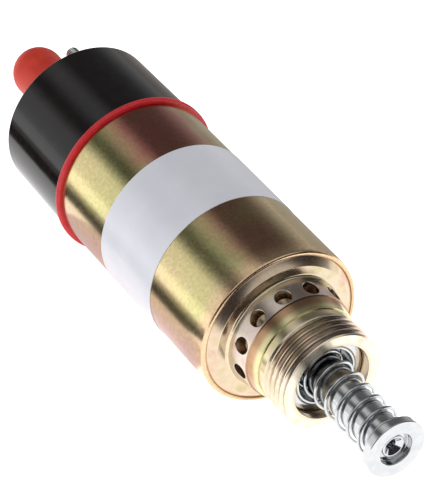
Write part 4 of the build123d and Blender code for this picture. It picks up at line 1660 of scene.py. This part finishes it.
@dataclass
class Studio:
    """A pale floor, a tent of soft light and the camera.

    The tent is a world whose light depends on the angle round X: a large softbox on the -Y side,
    a weaker strip overhead and a dim far side. Toward +X it fades into a dark room under a
    pale canopy. What is matt sees an even fill instead, as under a diffuser.
    """

    bench: Bench
    tent: tuple[Pair, ...] = (
        (-10.0, 0.64),
        (6.0, 0.52),
        (20.0, 0.34),
        (32.0, 0.18),
        (50.0, 0.14),
        (80.0, 0.15),
        (90.0, 0.5),
        (98.0, 0.72),
        (108.0, 0.66),
        (118.0, 0.3),
        (125.0, 0.12),
        (133.0, 0.14),
        (141.0, 0.5),
        (149.0, 0.95),
        (172.0, 1.0),
        (184.0, 1.25),
        (194.0, 1.1),
    )
    tent_start: float = -90.0
    brightest: float = 1.4
    fill: float = 0.78
    room_from_x: Pair = (0.1, 0.5)
    room_colour: str = "#2A262C"
    canopy_from_z: Pair = (0.46, 0.6)
    canopy_colour: str = "#C4C4C4"
    floor_size: float = 6000.0
    floor_glow: float = 1.05
    floor_colour: str = "#E8E8E8"
    card_lift: float = 0.2
    strip_y: Pair = (-88.0, -54.0)
    strip_end_x: float = -58.0
    far_width: float = 34.0
    near_width: float = 46.0
    near_x: Pair = (-113.0, -33.0)
    away_y: float = 46.0
    front_x: float = 190.0
    # Colours of the cards, which paint reflected shade and a reflected glow.
    reflected_shade_colour: str = "#262422"
    grey_colour: str = "#D2CCC8"
    reflected_glow_colour: str = "#F4E4E4"
    reflected_glow_strength: float = 0.6
    camera_place: Point = (443.4, -293.2, 459.7)
    azimuth: float = 59.16
    elevation: float = 38.50
    lens: float = 197.9
    clip_metres: Pair = (0.01, 20.0)

    def build(self) -> None:
        """Build the studio."""
        scene = bpy.context.scene
        scene.view_settings.view_transform = "Standard"
        scene.view_settings.look = "None"
        self.world()
        self.floor()
        self.camera()

    def world(self) -> None:
        """Light the scene by the angle of each direction round X."""
        world = bpy.data.worlds.new("studio_tent")
        bpy.context.scene.world = world
        world.use_nodes = True
        world.node_tree.nodes.clear()
        add = Nodes(world.node_tree).add
        look = add("ShaderNodeTexCoord").outputs["Generated"]
        x, y, z = add("ShaderNodeSeparateXYZ", look).outputs
        # The ramp starts a quarter turn below +Y, so that it wraps round below the floor.
        angle = add(MATH, z, y, operation="ARCTAN2")
        shifted = add(MATH, angle, -math.radians(self.tent_start), operation="ADD")
        wrapped = add(MATH, shifted, 2 * math.pi, operation="FLOORED_MODULO")
        share = add(MATH, wrapped, 2 * math.pi, operation="DIVIDE")
        stops = [((at - self.tent_start) / FULL_TURN, level / self.brightest) for at, level in self.tent]
        tent = add(RAMP, share, stops=stops)
        ahead = add(RANGE, x, *self.room_from_x, interpolation_type="SMOOTHSTEP")
        above = add(RANGE, z, *self.canopy_from_z, interpolation_type="SMOOTHSTEP")
        room, canopy = linear(self.room_colour), linear(self.canopy_colour)
        front = add(MIX, above, room, canopy, data_type="RGBA")
        sky = add(MIX, ahead, tent, front, data_type="RGBA")
        glow = add("ShaderNodeBackground", sky, self.brightest)
        fill = add("ShaderNodeBackground", Strength=self.fill)
        plain = add("ShaderNodeBackground", (1, 1, 1, 1), 1.0)
        rays = add("ShaderNodeLightPath").outputs
        soft = add("ShaderNodeMixShader", rays["Is Diffuse Ray"], glow, fill)
        both = add("ShaderNodeMixShader", rays["Is Camera Ray"], soft, plain)
        add("ShaderNodeOutputWorld", both)

    def sheet(self, name: str, x: Pair, y: Pair, z: float, material: bpy.types.Material) -> bpy.types.Object:
        """Lay a level sheet in the studio.

        Args:
            name: Its name.
            x: Its two ends.
            y: Its two sides.
            z: Its height.
            material: What it is made of.

        Returns:
            The sheet, which is staging and no part of the solenoid.
        """
        mesh = bpy.data.meshes.new(name)
        corners = [(x[0], y[0], z), (x[1], y[0], z), (x[1], y[1], z), (x[0], y[1], z)]
        mesh.from_pydata([tuple(c * MM for c in corner) for corner in corners], [], [(0, 1, 2, 3)])
        mesh.materials.append(material)
        laid = bpy.data.objects.new(name, mesh)
        bpy.context.scene.collection.objects.link(laid)
        return laid

    def floor(self) -> None:
        """Lay the white floor under the seal, and the cards that only shiny surfaces mirror, which are
        painted reflections of shade and of a lit floor.
        """
        level = -self.bench.radius("cap_seal")
        white = Shader(
            "studio_floor",
            Base_Color=linear(self.floor_colour),
            Roughness=0.9,
            Specular_IOR_Level=0.0,
            Emission_Color=(1, 1, 1, 1),
            Emission_Strength=self.floor_glow,
        ).material
        dark = Shader("studio_reflected_shade_card", Base_Color=linear(self.reflected_shade_colour), Roughness=1.0).material
        grey = Shader("studio_grey_card", Base_Color=linear(self.grey_colour), Roughness=1.0).material
        pale = Shader(
            "studio_reflected_glow_card",
            Base_Color=linear(self.grey_colour),
            Roughness=1.0,
            Emission_Color=linear(self.reflected_glow_colour),
            Emission_Strength=self.reflected_glow_strength,
        ).material
        half = self.floor_size / 2
        whole = (-half, half)
        behind = (-half, self.strip_end_x)
        far, near = self.strip_y
        self.sheet("floor", whole, whole, level, white)
        # The cards are painted reflections: the dark side card paints the reflected shade of the part's
        # contact shadow, the dark front card a dark room toward +X, the grey cards a dimmer floor further
        # off, and the glowing pale card the lit floor beside the part.
        for name, x, y, material in (
            ("side_shade_reflection_card", behind, self.strip_y, dark),
            ("far_card", behind, (far - self.far_width, far), grey),
            ("near_glow_reflection_card", self.near_x, (near, near + self.near_width), pale),
            ("away_card", behind, (self.away_y, half), grey),
            ("front_shade_reflection_card", (self.front_x, half), whole, dark),
        ):
            card = self.sheet(name, x, y, level + self.card_lift, material)
            card.visible_camera = False
            card.visible_diffuse = False
            card.visible_shadow = False

    def camera(self) -> None:
        """Stand the camera where the photograph was taken from."""
        data = bpy.data.cameras.new("camera")
        data.lens = self.lens
        data.clip_start, data.clip_end = self.clip_metres
        camera = bpy.data.objects.new("camera", data)
        bpy.context.scene.collection.objects.link(camera)
        a, e = math.radians(self.azimuth), math.radians(self.elevation)
        right = Vector((math.cos(a), math.sin(a), 0))
        back = Vector((math.sin(a) * math.cos(e), -math.cos(a) * math.cos(e), math.sin(e)))
        turn = Matrix((right, back.cross(right), back)).transposed().to_4x4()
        camera.matrix_world = Matrix.Translation(Vector(self.camera_place) * MM) @ turn
        bpy.context.scene.camera = camera


def main() -> None:
    """Build the pieces in order round the frame, then the studio."""
    logging.basicConfig(level=logging.INFO, format="%(name)s: %(message)s")
    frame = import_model()
    bench = Bench(frame, {finish.slot: finish.build() for finish in FINISHES})
    for assembly in (
        MountingNose(bench),
        NoseFittings(bench),
        Can(bench),
        CapAndSeal(bench),
        Terminal(bench, Side.POSITIVE),
        Terminal(bench, Side.NEGATIVE),
        TerminalBoot(bench),
        Plunger(bench),
        CoilSpring(
            bench,
            node="return_spring",
            joint="plunger_slide",
            outer_r=7.0,
            wire_r=0.47,
            open_turns=6.4,
            closed_turns=1.75,
            first_angle=-10.0,
            travel=14.0,
        ),
        CoilSpring(
            bench,
            node="contact_spring",
            joint="contact_slide",
            outer_r=bench.radius("contact_spring"),
            wire_r=0.3,
            open_turns=5.0,
            closed_turns=1.0,
            first_angle=-90.0,
            travel=1.2,
        ),
    ):
        assembly.build()
    bench.dress_the_rest()
    Studio(bench).build()


if __name__ == "__main__":
    main()
